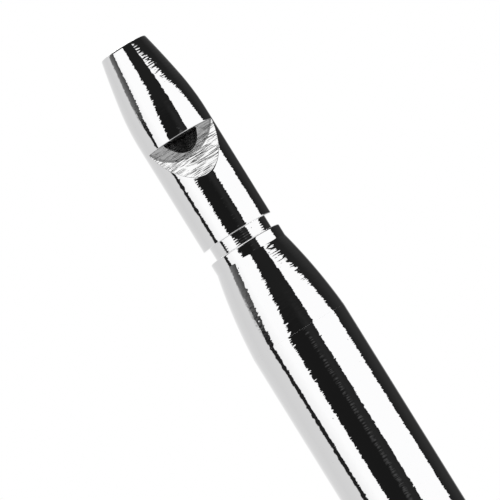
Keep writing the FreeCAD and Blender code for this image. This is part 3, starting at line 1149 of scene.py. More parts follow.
@dataclass
class Tuning(OnAxis):
    """Piston with its seal, the screw that drives it, the knob and the lock nut."""

    piston: float = 23.0
    piston_length: float = 5.0
    piston_radius: float = 2.35
    journal_radius: float = 1.0
    hole_radius: float = 1.05
    seat_radius: float = 1.6
    seat_depth: float = 0.65
    rivet_radius: float = 1.55
    seal_drop: float = 2.6
    seal_outer: float = 2.38
    seal_wire: float = 0.45
    screw_radius: float = 1.5
    screw_depth: float = 0.27
    screw_pitch: float = 0.5
    nut: float = 48.05
    nut_length: float = 2.5
    nut_radius: float = 2.85
    nut_hole: float = 1.53
    knob: float = 55.6
    knob_length: float = 6.0
    knob_radius: float = 2.6
    knob_ease: float = 0.25
    slot_width: float = 0.6
    slot_depth: float = 0.9
    knurl_depth: float = 0.18
    teeth: int = 32
    columns: int = 96

    def make_piston(self) -> bpy.types.Object:
        """Turned piston with a square groove for its seal."""
        seal, half = self.piston + self.seal_drop, self.seal_wire + 0.05
        floor = self.seal_outer - 2.0 * self.seal_wire - 0.02
        tail = self.piston + self.piston_length
        seat = self.piston + self.seat_depth
        outline = eased([
            (self.hole_radius, self.at(seat), 0.0), (self.seat_radius, self.at(seat), 0.03),
            (self.seat_radius, self.at(self.piston), 0.03), (self.piston_radius, self.at(self.piston), 0.12),
            (self.piston_radius, self.at(seal - half), 0.04), (floor, self.at(seal - half), 0.04),
            (floor, self.at(seal + half), 0.04), (self.piston_radius, self.at(seal + half), 0.04),
            (self.piston_radius, self.at(tail), 0.12), (self.hole_radius, self.at(tail), 0.04),
            (self.hole_radius, self.at(seat), 0.0),
        ])
        shell = Shell()
        shell.grid(turned(outline, ring_of(self.columns)))
        return shell.build("piston_body")

    def make_seal(self) -> bpy.types.Object:
        """O-ring: a circle of the wire's radius carried round a circle of its centre's radius."""
        around = ring_of(24)
        centre = self.seal_outer - self.seal_wire
        outline = np.stack([
            centre + self.seal_wire * np.cos(around),
            self.at(self.piston + self.seal_drop) + self.seal_wire * np.sin(around),
        ], axis=-1)
        shell = Shell()
        shell.grid(turned(outline, ring_of(self.columns)))
        return shell.build("piston_seal_ring")

    def make_screw(self) -> bpy.types.Object:
        """Threaded rod with a plain tip and a domed rivet head."""
        shoulder = self.piston + self.piston_length + 0.05
        rivet = self.piston + 0.6
        tail = self.knob + self.knob_length - self.slot_depth
        tip = eased([
            (0.0, self.at(self.piston), 0.0), (self.rivet_radius, self.at(self.piston), 0.25),
            (self.rivet_radius, self.at(rivet), 0.03), (self.journal_radius, self.at(rivet), 0.03),
            (self.journal_radius, self.at(shoulder), 0.03), (self.screw_radius, self.at(shoulder), 0.0),
        ])
        shell = Shell()
        shell.grid(turned(tip, ring_of(self.columns)))
        shell.grid(helical(
            self.screw_radius, self.screw_depth, self.screw_pitch, self.at(self.knob), self.at(shoulder),
            ring_of(self.columns),
        ))
        end = np.array([
            [self.screw_radius, self.at(self.knob)], [self.screw_radius, self.at(tail)], [0.0, self.at(tail)],
        ])
        shell.grid(turned(end, ring_of(self.columns)))
        return shell.build("screw_body")

    def make_knob(self) -> bpy.types.Object:
        """Knurled knob, bored for the screw's tail and cut across its end with a coin slot."""
        low = self.knob + self.knob_length
        outline = eased([
            (self.screw_radius, self.at(self.knob), 0.0), (self.knob_radius, self.at(self.knob), self.knob_ease),
            (self.knob_radius, self.at(low), self.knob_ease), (self.screw_radius, self.at(low), 0.0),
            (self.screw_radius, self.at(self.knob), 0.0),
        ])
        # The rows start past the points that eased() holds beside each corner, so the outline never doubles back.
        margin = self.knob_ease * (1.0 + HOLD) + 0.05
        rows = np.linspace(self.at(self.knob + margin), self.at(low - margin), 9)[:, None]
        split = int(np.argmax(outline[:, 1] < rows[0, 0]))
        outline = np.vstack([outline[:split], np.hstack([np.full_like(rows, self.knob_radius), rows]), outline[split:]])
        shell = Shell()
        shell.grid(knurled(outline, self.knob_radius, self.knurl_depth, self.teeth))
        knob = shell.build("knob_body")
        cutter = bmesh.new()
        bmesh.ops.create_cube(cutter, size=1.0)
        size = (2.5 * self.knob_radius * MM, self.slot_width * MM, 2.0 * self.slot_depth * MM)
        bmesh.ops.scale(cutter, vec=size, verts=cutter.verts)
        bmesh.ops.translate(cutter, vec=(0.0, 0.0, self.at(low) * MM), verts=cutter.verts)
        slot_mesh = bpy.data.meshes.new("coin_slot_cutter")
        cutter.to_mesh(slot_mesh)
        cutter.free()
        slot = bpy.data.objects.new("coin_slot_cutter", slot_mesh)
        bpy.context.scene.collection.objects.link(slot)
        return carved(knob, slot, "coin_slot")

    def make_nut(self) -> bpy.types.Object:
        """Knurled ring with a plain bore."""
        high, low = self.at(self.nut), self.at(self.nut + self.nut_length)
        outline = eased([
            (self.nut_hole, low, 0.0), (self.nut_hole, high, 0.06), (self.nut_radius, high, 0.22),
            (self.nut_radius, low, 0.22), (self.nut_hole, low, 0.0),
        ])
        shell = Shell()
        shell.grid(knurled(outline, self.nut_radius, self.knurl_depth, self.teeth))
        return shell.build("lock_nut_body")

    def build(self) -> None:
        """Make the five pieces."""
        brass = [self.finishes.brass]
        place(self.make_piston(), Travel.PISTON, "tuning_piston", brass)
        place(self.make_seal(), Travel.PISTON, "piston_seal", [self.finishes.rubber])
        place(self.make_screw(), Travel.SCREW, "tuning_screw", brass)
        place(self.make_knob(), Travel.SCREW, "tuning_knob", brass)
        place(self.make_nut(), Travel.NUT, "lock_nut", brass)


@dataclass
class Cap(OnAxis):
    """Flared ferrule, straight tube, and domed tail with the ball that holds the split ring."""

    ferrule: float = 23.9
    run_radius: float = 3.355
    collar_radius: float = 4.1
    collar_end: float = 25.2
    flare_radius: float = 58.0
    stop: float = 31.1
    stop_run: float = 2.0
    stop_radius: float = 3.1
    tube: float = 34.6
    tube_length: float = 39.4
    tube_radius: float = 5.5
    tube_bore: float = 4.7
    seam: float = 0.004
    crease: float = 0.03
    spigot: float = 5.0
    spigot_bore: float = 3.9
    flange: float = 0.8
    dome_radius: float = 4.2
    dome: float = 2.8
    stem_radius: float = 2.2
    ball_radius: float = 2.9
    ball_drop: float = 6.6
    eye_radius: float = 1.5
    columns: int = 192

    def make_ferrule(self) -> bpy.types.Object:
        """Flared front: a short collar, then one long arc out to the tube."""
        rim = eased([
            (self.run_radius, self.at(self.stop), 0.0), (self.run_radius, self.at(self.ferrule), 0.12),
            (self.collar_radius, self.at(self.ferrule), 0.16),
            (self.collar_radius, self.at(self.collar_end - self.crease), 0.0),
            (self.collar_radius, self.at(self.collar_end), 0.0),
        ])
        flare = swell(
            (self.collar_radius, self.at(self.collar_end)), (self.tube_radius, self.at(self.tube)),
            self.flare_radius, Bend.OUT, steps=40,
        )
        crease = flare[:1] + (flare[1:2] - flare[:1]) * self.crease / (self.at(self.collar_end) - flare[1, 1])
        seam = eased([
            (self.tube_radius, self.at(self.tube - 0.02), 0.0), (self.tube_radius, self.at(self.tube), self.seam),
            (self.tube_bore, self.at(self.tube), 0.0), (self.tube_bore, self.at(self.tube + self.spigot), 0.2),
            (self.spigot_bore, self.at(self.tube + self.spigot), 0.1),
            (self.spigot_bore, self.at(self.stop + self.stop_run), 0.0),
            (self.stop_radius, self.at(self.stop + self.stop_run), 0.1),
            (self.stop_radius, self.at(self.stop), 0.05), (self.run_radius, self.at(self.stop), 0.0),
        ])
        shell = Shell()
        shell.grid(turned(np.vstack([rim, crease, flare[1:-1], seam]), ring_of(self.columns)))
        return shell.build("ferrule_body")

    def make_tube(self) -> bpy.types.Object:
        """Straight tube with eased ends."""
        high, low = self.at(self.tube), self.at(self.tube + self.tube_length)
        outline = eased([
            (self.tube_bore, low, 0.0), (self.tube_bore, high, 0.05), (self.tube_radius, high, self.seam),
            (self.tube_radius, low, self.seam), (self.tube_bore, low, 0.0),
        ])
        shell = Shell()
        shell.grid(turned(outline, ring_of(self.columns)))
        return shell.build("cap_tube_body")

    def make_tail(self) -> bpy.types.Object:
        """Domed tail and its ball, drilled across with a cylinder along X."""
        top = self.tube + self.tube_length
        dome, ball = top + self.flange, top + self.ball_drop
        seam = ball - math.sqrt(self.ball_radius**2 - self.stem_radius**2)
        front = eased([
            (0.0, self.at(top - self.spigot), 0.0), (self.tube_bore, self.at(top - self.spigot), 0.2),
            (self.tube_bore, self.at(top), 0.0), (self.tube_radius, self.at(top), self.seam),
            (self.tube_radius, self.at(dome), 0.0),
        ])
        curve = swell((self.tube_radius, self.at(dome)), (self.stem_radius, self.at(dome + self.dome)),
                      self.dome_radius, Bend.OUT)
        start = math.acos(self.stem_radius / self.ball_radius)
        falls = np.linspace(start, -math.pi / 2.0, 49)
        globe = np.stack([self.ball_radius * np.cos(falls), self.at(ball) + self.ball_radius * np.sin(falls)], axis=-1)
        stem = np.array([[self.stem_radius, self.at(dome + self.dome + 0.4)], [self.stem_radius, self.at(seam - 0.3)]])
        shell = Shell()
        shell.grid(turned(np.vstack([front, curve[1:], stem, globe]), ring_of(96)))
        tail = shell.build("tail_body")
        drill = Shell()
        around = ring_of(48)
        reach = 2.0 * self.ball_radius
        rims = [
            np.stack([
                np.full_like(around, end), self.eye_radius * np.cos(around),
                self.at(ball) + self.eye_radius * np.sin(around),
            ], axis=-1)
            for end in (-reach, reach)
        ]
        drill.grid(np.stack(rims))
        for rim in rims:
            hub = np.broadcast_to(np.array([rim[0, 0], 0.0, self.at(ball)]), rim.shape)
            drill.grid(np.stack([hub, rim]))
        return carved(tail, drill.build("eye_drill"), "ring_eye")

    def build(self) -> None:
        """Make the three cap pieces."""
        plate = [self.finishes.plate]
        place(self.make_ferrule(), Travel.CAP, "cap_ferrule", plate)
        place(self.make_tube(), Travel.CAP, "cap_tube", plate)
        place(self.make_tail(), Travel.CAP, "tail_plug", plate)


@dataclass
class SplitRing:
    """Two coils of flat wire, side by side, whose ends stop on opposite faces at the bottom."""

    finishes: Finishes
    centre: float
    radius: float = 7.5
    wide: float = 1.0
    thick: float = 0.7
    pitch: float = 0.72
    coils: int = 2
    steps: int = 128
    ease: float = 0.14

    def section(self) -> np.ndarray:
        """Rounded rectangle: radial offset and sideways offset of each point, closed."""
        half_wide, half_thick = self.wide / 2.0, self.thick / 2.0
        corner = np.linspace(0.0, math.pi / 2.0, 5)
        quarter = np.stack([np.cos(corner), np.sin(corner)], axis=-1) * self.ease
        turns = [(1, 1, 0), (-1, 1, 1), (-1, -1, 2), (1, -1, 3)]
        parts = []
        for wide_side, thick_side, quarters in turns:
            spin = quarters * math.pi / 2.0
            rotation = np.array([[math.cos(spin), -math.sin(spin)], [math.sin(spin), math.cos(spin)]])
            hub = np.array([wide_side * (half_wide - self.ease), thick_side * (half_thick - self.ease)])
            parts.append(hub + quarter @ rotation.T)
        loop = np.vstack(parts)
        return np.vstack([loop, loop[:1]])

    def build(self) -> None:
        """Carry the section along the coil.

        At angle a from the bottom, the wire's centre is (radius * sin a, pitch * (a / turn - coils / 2),
        centre - radius * cos a). The ends close to a point inside the wire.
        """
        angles = np.linspace(0.0, TURN * self.coils, self.steps * self.coils + 1)
        loop = self.section()
        radial = self.radius + np.broadcast_to(loop[:, 0], (len(angles), len(loop)))
        side = self.pitch * (angles / TURN - self.coils / 2.0)[:, None] + loop[None, :, 1]
        points = np.stack([
            -radial * np.sin(angles)[:, None],
            np.broadcast_to(side, radial.shape),
            self.centre - radial * np.cos(angles)[:, None],
        ], axis=-1)
        caps = [np.broadcast_to(points[index].mean(axis=0), points[index].shape) for index in (0, -1)]
        shell = Shell()
        shell.grid(np.concatenate([caps[0][None], points, caps[1][None]]))
        place(shell.build("split_ring_coil"), Travel.RING, "split_ring", [self.finishes.wire])


# ----------------------------------------------------------------------------------------------
# Studio
# ----------------------------------------------------------------------------------------------


@dataclass
class Studio:
    """White room with two tall soft boxes, a dark gap between them and a dark flag behind on the right."""

    view_azimuth: float = VIEW_AZIMUTH
    floor_drop: float = 0.12
    floor_radius: float = 0.8
    edge_blur: float = 0.35
    box_strength: float = 1.05
    slit_strength: float = 0.065
    ceiling_strength: float = 1.05
    table_strength: float = 0.75
    lamp_side: float = 0.9
    lamp_power: float = 8.0
    lamp_spot: tuple[float, float, float] = (0.2, 0.75, 1.2)
    lamp_tilt: tuple[float, float] = (-32.0, 8.0)

    def world(self) -> None:
        """Write the surroundings node by node.

        Each direction is turned into an angle round the vertical axis, counted from the camera's side, and a
        height above the horizon, both in degrees. A soft box is where both lie inside its edges, a ramp over the
        angle gives the room round the boxes, and overhead all of it gives way to a pale ceiling.
        """
        world = bpy.data.worlds.new("studio")
        bpy.context.scene.world = world
        world.use_nodes = True
        nodes, links = world.node_tree.nodes, world.node_tree.links
        nodes.clear()

        aim_frame = nodes.new("NodeFrame")
        aim_frame.label = "Direction, as an angle and a height"
        right_frame = nodes.new("NodeFrame")
        right_frame.label = "Right soft box"
        left_frame = nodes.new("NodeFrame")
        left_frame.label = "Left soft box"
        room_frame = nodes.new("NodeFrame")
        room_frame.label = "Room round them"
        slit_frame = nodes.new("NodeFrame")
        slit_frame.label = "Pale upright seen in the dark middle"
        mix_frame = nodes.new("NodeFrame")
        mix_frame.label = "All together, and the white backdrop straight behind"

        direction = nodes.new("ShaderNodeTexCoord")
        direction.label = "Direction"
        direction.parent = aim_frame

        turn = nodes.new("ShaderNodeMapping")
        turn.label = "Count angles from the camera's side"
        turn.vector_type = "POINT"
        turn.inputs["Rotation"].default_value = (0.0, 0.0, math.radians(-self.view_azimuth))
        turn.parent = aim_frame
        links.new(direction.outputs["Generated"], turn.inputs["Vector"])

        parts = nodes.new("ShaderNodeSeparateXYZ")
        parts.label = "Parts of the direction"
        parts.parent = aim_frame
        links.new(turn.outputs["Vector"], parts.inputs["Vector"])

        forward = nodes.new("ShaderNodeMath")
        forward.label = "Towards the camera"
        forward.operation = "MULTIPLY"
        forward.inputs[1].default_value = -1.0
        forward.parent = aim_frame
        links.new(parts.outputs["Y"], forward.inputs[0])

        radians = nodes.new("ShaderNodeMath")
        radians.label = "Angle round the axis"
        radians.operation = "ARCTAN2"
        radians.parent = aim_frame
        links.new(parts.outputs["X"], radians.inputs[0])
        links.new(forward.outputs["Value"], radians.inputs[1])

        angle = nodes.new("ShaderNodeMath")
        angle.label = "Angle in degrees"
        angle.operation = "DEGREES"
        angle.parent = aim_frame
        links.new(radians.outputs["Value"], angle.inputs[0])

        rise = nodes.new("ShaderNodeMath")
        rise.label = "Height above the horizon"
        rise.operation = "ARCSINE"
        rise.parent = aim_frame
        links.new(parts.outputs["Z"], rise.inputs[0])

        height = nodes.new("ShaderNodeMath")
        height.label = "Height in degrees"
        height.operation = "DEGREES"
        height.parent = aim_frame
        links.new(rise.outputs["Value"], height.inputs[0])

        right_start = nodes.new("ShaderNodeMapRange")
        right_start.label = "Near edge leans back as it rises"
        right_start.inputs["From Min"].default_value = 1.0
        right_start.inputs["From Max"].default_value = 26.0
        right_start.inputs["To Min"].default_value = 36.3
        right_start.inputs["To Max"].default_value = 44.8
        right_start.parent = right_frame
        links.new(height.outputs["Value"], right_start.inputs["Value"])

        past_start = nodes.new("ShaderNodeMath")
        past_start.label = "Degrees past the near edge"
        past_start.operation = "SUBTRACT"
        past_start.parent = right_frame
        links.new(angle.outputs["Value"], past_start.inputs[0])
        links.new(right_start.outputs["Result"], past_start.inputs[1])

        near_edge = nodes.new("ShaderNodeMapRange")
        near_edge.label = "Near edge"
        near_edge.inputs["From Min"].default_value = -self.edge_blur
        near_edge.inputs["From Max"].default_value = self.edge_blur
        near_edge.parent = right_frame
        links.new(past_start.outputs["Value"], near_edge.inputs["Value"])

        slope = nodes.new("ShaderNodeMapRange")
        slope.label = "Top slopes down to the far side"
        slope.clamp = False
        slope.inputs["From Min"].default_value = 50.0
        slope.inputs["From Max"].default_value = 70.0
        slope.inputs["To Min"].default_value = 27.0
        slope.inputs["To Max"].default_value = 22.6
        slope.parent = right_frame
        links.new(angle.outputs["Value"], slope.inputs["Value"])

        fall = nodes.new("ShaderNodeMapRange")
        fall.label = "Then falls away"
        fall.clamp = False
        fall.inputs["From Min"].default_value = 70.0
        fall.inputs["From Max"].default_value = 91.0
        fall.inputs["To Min"].default_value = 22.6
        fall.inputs["To Max"].default_value = 12.6
        fall.parent = right_frame
        links.new(angle.outputs["Value"], fall.inputs["Value"])

        end = nodes.new("ShaderNodeMapRange")
        end.label = "Far edge leans in"
        end.clamp = False
        end.inputs["From Min"].default_value = 91.5
        end.inputs["From Max"].default_value = 99.5
        end.inputs["To Min"].default_value = 12.0
        end.inputs["To Max"].default_value = 1.0
        end.parent = right_frame
        links.new(angle.outputs["Value"], end.inputs["Value"])

        bent_top = nodes.new("ShaderNodeMath")
        bent_top.label = "The lower of the first two"
        bent_top.operation = "MINIMUM"
        bent_top.parent = right_frame
        links.new(slope.outputs["Result"], bent_top.inputs[0])
        links.new(fall.outputs["Result"], bent_top.inputs[1])

        right_top = nodes.new("ShaderNodeMath")
        right_top.label = "Whichever is lowest"
        right_top.operation = "MINIMUM"
        right_top.parent = right_frame
        links.new(bent_top.outputs["Value"], right_top.inputs[0])
        links.new(end.outputs["Result"], right_top.inputs[1])

        below_top = nodes.new("ShaderNodeMath")
        below_top.label = "Degrees below it"
        below_top.operation = "SUBTRACT"
        below_top.parent = right_frame
        links.new(right_top.outputs["Value"], below_top.inputs[0])
        links.new(height.outputs["Value"], below_top.inputs[1])

        top_edge = nodes.new("ShaderNodeMapRange")
        top_edge.label = "Top and far edges"
        top_edge.inputs["From Min"].default_value = -self.edge_blur
        top_edge.inputs["From Max"].default_value = self.edge_blur
        top_edge.parent = right_frame
        links.new(below_top.outputs["Value"], top_edge.inputs["Value"])

        right_box = nodes.new("ShaderNodeMath")
        right_box.label = "Right soft box"
        right_box.operation = "MULTIPLY"
        right_box.parent = right_frame
        links.new(near_edge.outputs["Result"], right_box.inputs[0])
        links.new(top_edge.outputs["Result"], right_box.inputs[1])

        left_end = nodes.new("ShaderNodeMapRange")
        left_end.label = "Near edge leans in as it rises"
        left_end.inputs["From Min"].default_value = 1.0
        left_end.inputs["From Max"].default_value = 28.0
        left_end.inputs["To Min"].default_value = -27.0
        left_end.inputs["To Max"].default_value = -1.0
        left_end.parent = left_frame
        links.new(height.outputs["Value"], left_end.inputs["Value"])

        before_end = nodes.new("ShaderNodeMath")
        before_end.label = "Degrees short of the near edge"
        before_end.operation = "SUBTRACT"
        before_end.parent = left_frame
        links.new(left_end.outputs["Result"], before_end.inputs[0])
        links.new(angle.outputs["Value"], before_end.inputs[1])

        left_near = nodes.new("ShaderNodeMapRange")
        left_near.label = "Near edge"
        left_near.inputs["From Min"].default_value = -self.edge_blur
        left_near.inputs["From Max"].default_value = self.edge_blur
        left_near.parent = left_frame
        links.new(before_end.outputs["Value"], left_near.inputs["Value"])

        left_start = nodes.new("ShaderNodeMapRange")
        left_start.label = "Far edge leans in too"
        left_start.inputs["From Min"].default_value = 2.0
        left_start.inputs["From Max"].default_value = 24.0
        left_start.inputs["To Min"].default_value = -66.3
        left_start.inputs["To Max"].default_value = -57.0
        left_start.parent = left_frame
        links.new(height.outputs["Value"], left_start.inputs["Value"])

        past_far = nodes.new("ShaderNodeMath")
        past_far.label = "Degrees past the far edge"
        past_far.operation = "SUBTRACT"
        past_far.parent = left_frame
        links.new(angle.outputs["Value"], past_far.inputs[0])
        links.new(left_start.outputs["Result"], past_far.inputs[1])

        left_far = nodes.new("ShaderNodeMapRange")
        left_far.label = "Far edge"
        left_far.inputs["From Min"].default_value = -self.edge_blur
        left_far.inputs["From Max"].default_value = self.edge_blur
        left_far.parent = left_frame
        links.new(past_far.outputs["Value"], left_far.inputs["Value"])

        left_sides = nodes.new("ShaderNodeMath")
        left_sides.label = "Between its sides"
        left_sides.operation = "MULTIPLY"
        left_sides.parent = left_frame
        links.new(left_near.outputs["Result"], left_sides.inputs[0])
        links.new(left_far.outputs["Result"], left_sides.inputs[1])

        left_top = nodes.new("ShaderNodeMapRange")
        left_top.label = "Its top"
        left_top.inputs["From Min"].default_value = 37.0
        left_top.inputs["From Max"].default_value = 35.0
        left_top.parent = left_frame
        links.new(height.outputs["Value"], left_top.inputs["Value"])

        left_box = nodes.new("ShaderNodeMath")
        left_box.label = "Left soft box"
        left_box.operation = "MULTIPLY"
        left_box.parent = left_frame
        links.new(left_sides.outputs["Value"], left_box.inputs[0])
        links.new(left_top.outputs["Result"], left_box.inputs[1])

        boxes = nodes.new("ShaderNodeMath")
        boxes.label = "Both boxes"
        boxes.operation = "MAXIMUM"
        boxes.parent = left_frame
        links.new(left_box.outputs["Value"], boxes.inputs[0])
        links.new(right_box.outputs["Value"], boxes.inputs[1])

        glow = nodes.new("ShaderNodeMapRange")
        glow.label = "Left box dims towards its far edge"
        glow.inputs["From Min"].default_value = -66.0
        glow.inputs["From Max"].default_value = -42.0
        glow.inputs["To Min"].default_value = self.box_strength * 0.9
        glow.inputs["To Max"].default_value = self.box_strength
        glow.parent = left_frame
        links.new(angle.outputs["Value"], glow.inputs["Value"])

        share = nodes.new("ShaderNodeMapRange")
        share.label = "Angle as a share of a turn"
        share.inputs["From Min"].default_value = -180.0
        share.inputs["From Max"].default_value = 180.0
        share.parent = room_frame
        links.new(angle.outputs["Value"], share.inputs["Value"])

        low = nodes.new("ShaderNodeValToRGB")
        low.label = "Dark room at eye level, pale at the back left"
        low.parent = room_frame
        links.new(share.outputs["Result"], low.inputs["Fac"])
        high = nodes.new("ShaderNodeValToRGB")
        high.label = "Room higher up"
        high.parent = room_frame
        links.new(share.outputs["Result"], high.inputs["Fac"])
        wall = [(-180, 1.0), (-170, 0.93), (-157, 0.8), (-140, 0.71), (-110, 0.67)]
        tones = {
            low: [
                *wall, (-77.2, 0.7), (-76, 0.014), (-10, 0.01), (12, 0.01), (24, 0.021), (36, 0.017), (104, 0.016),
                (130, 0.028), (154, 0.035), (163, 0.17), (170, 0.42), (180, 1.0),
            ],
            high: [
                *wall, (-84, 0.7), (-80, 0.17), (-60, 0.065), (-50, 0.012), (100, 0.016), (130, 0.035), (142, 0.06),
                (150, 0.15), (158, 0.45), (180, 1.0),
            ],
        }
        for ramp, stops in tones.items():
            elements = ramp.color_ramp.elements
            elements.remove(elements[1])
            elements[0].position = 0.0
            elements[0].color = grey(stops[0][1])
            for degrees, tone in stops[1:]:
                element = elements.new((degrees + 180.0) / 360.0)
                element.color = grey(tone)

        lift = nodes.new("ShaderNodeMapRange")
        lift.label = "How far up the room changes"
        lift.interpolation_type = "SMOOTHSTEP"
        lift.inputs["From Min"].default_value = 8.0
        lift.inputs["From Max"].default_value = 20.0
        lift.parent = room_frame
        links.new(height.outputs["Value"], lift.inputs["Value"])

        room_tone = nodes.new("ShaderNodeMix")
        room_tone.label = "Room"
        room_tone.data_type = "RGBA"
        room_tone.parent = room_frame
        links.new(lift.outputs["Result"], room_tone.inputs["Factor"])
        links.new(low.outputs["Color"], room_tone.inputs["A"])
        links.new(high.outputs["Color"], room_tone.inputs["B"])

        aside = nodes.new("ShaderNodeMath")
        aside.label = "Degrees from the pale upright"
        aside.operation = "SUBTRACT"
        aside.inputs[1].default_value = 15.2
        aside.parent = slit_frame
        links.new(angle.outputs["Value"], aside.inputs[0])

        either = nodes.new("ShaderNodeMath")
        either.label = "To either side"
        either.operation = "ABSOLUTE"
        either.parent = slit_frame
        links.new(aside.outputs["Value"], either.inputs[0])

        slit = nodes.new("ShaderNodeMapRange")
        slit.label = "Narrow upright"
        slit.inputs["From Min"].default_value = 6.5
        slit.inputs["From Max"].default_value = 0.2
        slit.parent = slit_frame
        links.new(either.outputs["Value"], slit.inputs["Value"])

        slit_low = nodes.new("ShaderNodeMapRange")
        slit_low.label = "Only at and below eye level"
        slit_low.inputs["From Min"].default_value = 1.6
        slit_low.inputs["From Max"].default_value = -1.8
        slit_low.parent = slit_frame
        links.new(height.outputs["Value"], slit_low.inputs["Value"])

        slit_share = nodes.new("ShaderNodeMath")
        slit_share.label = "Share of the upright"
        slit_share.operation = "MULTIPLY"
        slit_share.parent = slit_frame
        links.new(slit.outputs["Result"], slit_share.inputs[0])
        links.new(slit_low.outputs["Result"], slit_share.inputs[1])

        slit_tone = nodes.new("ShaderNodeMix")
        slit_tone.label = "Pale upright in the dark"
        slit_tone.data_type = "RGBA"
        slit_tone.inputs["B"].default_value = grey(self.slit_strength)
        slit_tone.parent = slit_frame
        links.new(slit_share.outputs["Value"], slit_tone.inputs["Factor"])
        links.new(room_tone.outputs["Result"], slit_tone.inputs["A"])

        lit = nodes.new("ShaderNodeMix")
        lit.label = "Soft boxes in the room"
        lit.data_type = "RGBA"
        lit.parent = mix_frame
        links.new(boxes.outputs["Value"], lit.inputs["Factor"])
        links.new(slit_tone.outputs["Result"], lit.inputs["A"])
        links.new(glow.outputs["Result"], lit.inputs["B"])

        up = nodes.new("ShaderNodeMapRange")
        up.label = "Pale ceiling overhead"
        up.interpolation_type = "SMOOTHSTEP"
        up.inputs["From Min"].default_value = 45.0
        up.inputs["From Max"].default_value = 54.0
        up.parent = mix_frame
        links.new(height.outputs["Value"], up.inputs["Value"])

        bands_mix = nodes.new("ShaderNodeMix")
        bands_mix.label = "Room and ceiling"
        bands_mix.data_type = "RGBA"
        bands_mix.inputs["B"].default_value = grey(self.ceiling_strength)
        bands_mix.parent = mix_frame
        links.new(up.outputs["Result"], bands_mix.inputs["Factor"])
        links.new(lit.outputs["Result"], bands_mix.inputs["A"])

        down = nodes.new("ShaderNodeMapRange")
        down.label = "Table below, under the bands"
        down.interpolation_type = "SMOOTHSTEP"
        down.inputs["From Min"].default_value = -6.0
        down.inputs["From Max"].default_value = -36.0
        down.inputs["To Max"].default_value = 0.55
        down.parent = mix_frame
        links.new(height.outputs["Value"], down.inputs["Value"])

        table = nodes.new("ShaderNodeMix")
        table.label = "With the table's paleness"
        table.data_type = "RGBA"
        table.inputs["B"].default_value = grey(self.table_strength)
        table.parent = mix_frame
        links.new(down.outputs["Result"], table.inputs["Factor"])
        links.new(bands_mix.outputs["Result"], table.inputs["A"])

        room = nodes.new("ShaderNodeBackground")
        room.label = "What the metal mirrors"
        room.parent = mix_frame
        links.new(table.outputs["Result"], room.inputs["Color"])

        backdrop = nodes.new("ShaderNodeBackground")
        backdrop.label = "Plain white backdrop"
        backdrop.inputs["Color"].default_value = grey(1.0)
        backdrop.parent = mix_frame

        path = nodes.new("ShaderNodeLightPath")
        path.label = "Seen straight"
        path.parent = mix_frame

        choose = nodes.new("ShaderNodeMixShader")
        choose.label = "Backdrop or room"
        choose.parent = mix_frame
        links.new(path.outputs["Is Camera Ray"], choose.inputs["Fac"])
        links.new(room.outputs["Background"], choose.inputs[1])
        links.new(backdrop.outputs["Background"], choose.inputs[2])

        output = nodes.new("ShaderNodeOutputWorld")
        output.label = "World"
        output.parent = mix_frame
        links.new(choose.outputs["Shader"], output.inputs["Surface"])
        for order, node in enumerate(node for node in nodes if node.bl_idname != "NodeFrame"):
            node.location = (-1800.0 + 230.0 * (order // 6), 400.0 - 190.0 * (order % 6))

    def floor(self, lowest: float) -> None:
        """Lay the pale floor below the whistle, which is held up in the air.

        The metal mirrors the room's own lower half instead of this disc, so its rim never shows in the plate.

        Args:
            lowest: height of the object's lowest point, in metres.
        """
        rim = np.linspace(0.0, self.floor_radius, 5) / MM
        profile = np.stack([rim, np.full_like(rim, (lowest - self.floor_drop) / MM)], axis=-1)
        shell = Shell()
        shell.grid(turned(profile, ring_of(96)))
        floor = shell.build("floor")
        floor.data.materials.append(PaleFloor(self.floor_radius).make())
        floor.visible_glossy = False
        floor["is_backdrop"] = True

    def lamp(self) -> None:
        """Hang one broad soft lamp overhead and behind."""
        light = bpy.data.lights.new("overhead_soft_lamp", "AREA")
        light.shape, light.size, light.size_y = "RECTANGLE", self.lamp_side, self.lamp_side
        light.energy = self.lamp_power
        lamp = bpy.data.objects.new("overhead_soft_lamp", light)
        lamp.location = self.lamp_spot
        lamp.rotation_euler = (*map(math.radians, self.lamp_tilt), 0.0)
        bpy.context.scene.collection.objects.link(lamp)


@dataclass
class Viewpoint:
    """Long lens, level with the whistle's middle and rolled so that its mouth leans left."""

    mouth: float
    azimuth: float = VIEW_AZIMUTH
    elevation: float = -2.94
    roll: float = -31.8
    distance: float = 438.0
    lens: float = 305.0
    aim: float = 24.67
    sideways: float = 0.18
    sensor: float = 36.0
    nearest: float = 0.01

    def build(self) -> None:
        """Place the camera.

        It stands on the line from the aim point at the azimuth and elevation, looks back along it, and is turned
        about it by the roll.
        """
        around, rise = math.radians(self.azimuth), math.radians(self.elevation)
        back = Vector((math.sin(around) * math.cos(rise), -math.cos(around) * math.cos(rise), math.sin(rise)))
        right = Vector((math.cos(around), math.sin(around), 0.0))
        up = back.cross(right)
        target = (Vector((0.0, 0.0, self.mouth - self.aim)) + right * self.sideways) * MM
        data = bpy.data.cameras.new("camera")
        data.lens, data.sensor_width, data.clip_start = self.lens, self.sensor, self.nearest
        camera = bpy.data.objects.new("camera", data)
        rotation = Matrix((right, up, back)).transposed().to_4x4() @ Matrix.Rotation(math.radians(self.roll), 4, "Z")
        camera.matrix_world = Matrix.Translation(target + back * self.distance * MM) @ rotation
        bpy.context.scene.collection.objects.link(camera)
        bpy.context.scene.camera = camera


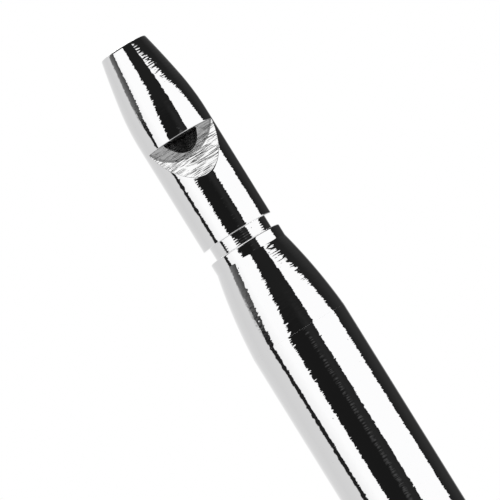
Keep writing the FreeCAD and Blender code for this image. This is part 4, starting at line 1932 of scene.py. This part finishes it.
def main() -> None:
    """Build the whistle's pieces and the studio; each piece's face count is logged as it is placed."""
    logging.basicConfig(level=logging.INFO, format="%(message)s")
    cad_box = [list(corner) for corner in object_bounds()]
    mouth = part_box("whistle_barrel")[1].z / MM
    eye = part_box("split_ring")
    finishes = Finishes()
    Barrel(finishes, mouth).build()
    Tuning(finishes, mouth).build()
    Cap(finishes, mouth).build()
    SplitRing(finishes, (eye[0].z + eye[1].z) / 2.0 / MM).build()
    bpy.context.scene.view_settings.view_transform = "Standard"
    studio = Studio()
    studio.world()
    studio.floor(cad_box[0][2])
    studio.lamp()
    Viewpoint(mouth).build()


if __name__ == "__main__":
    main()
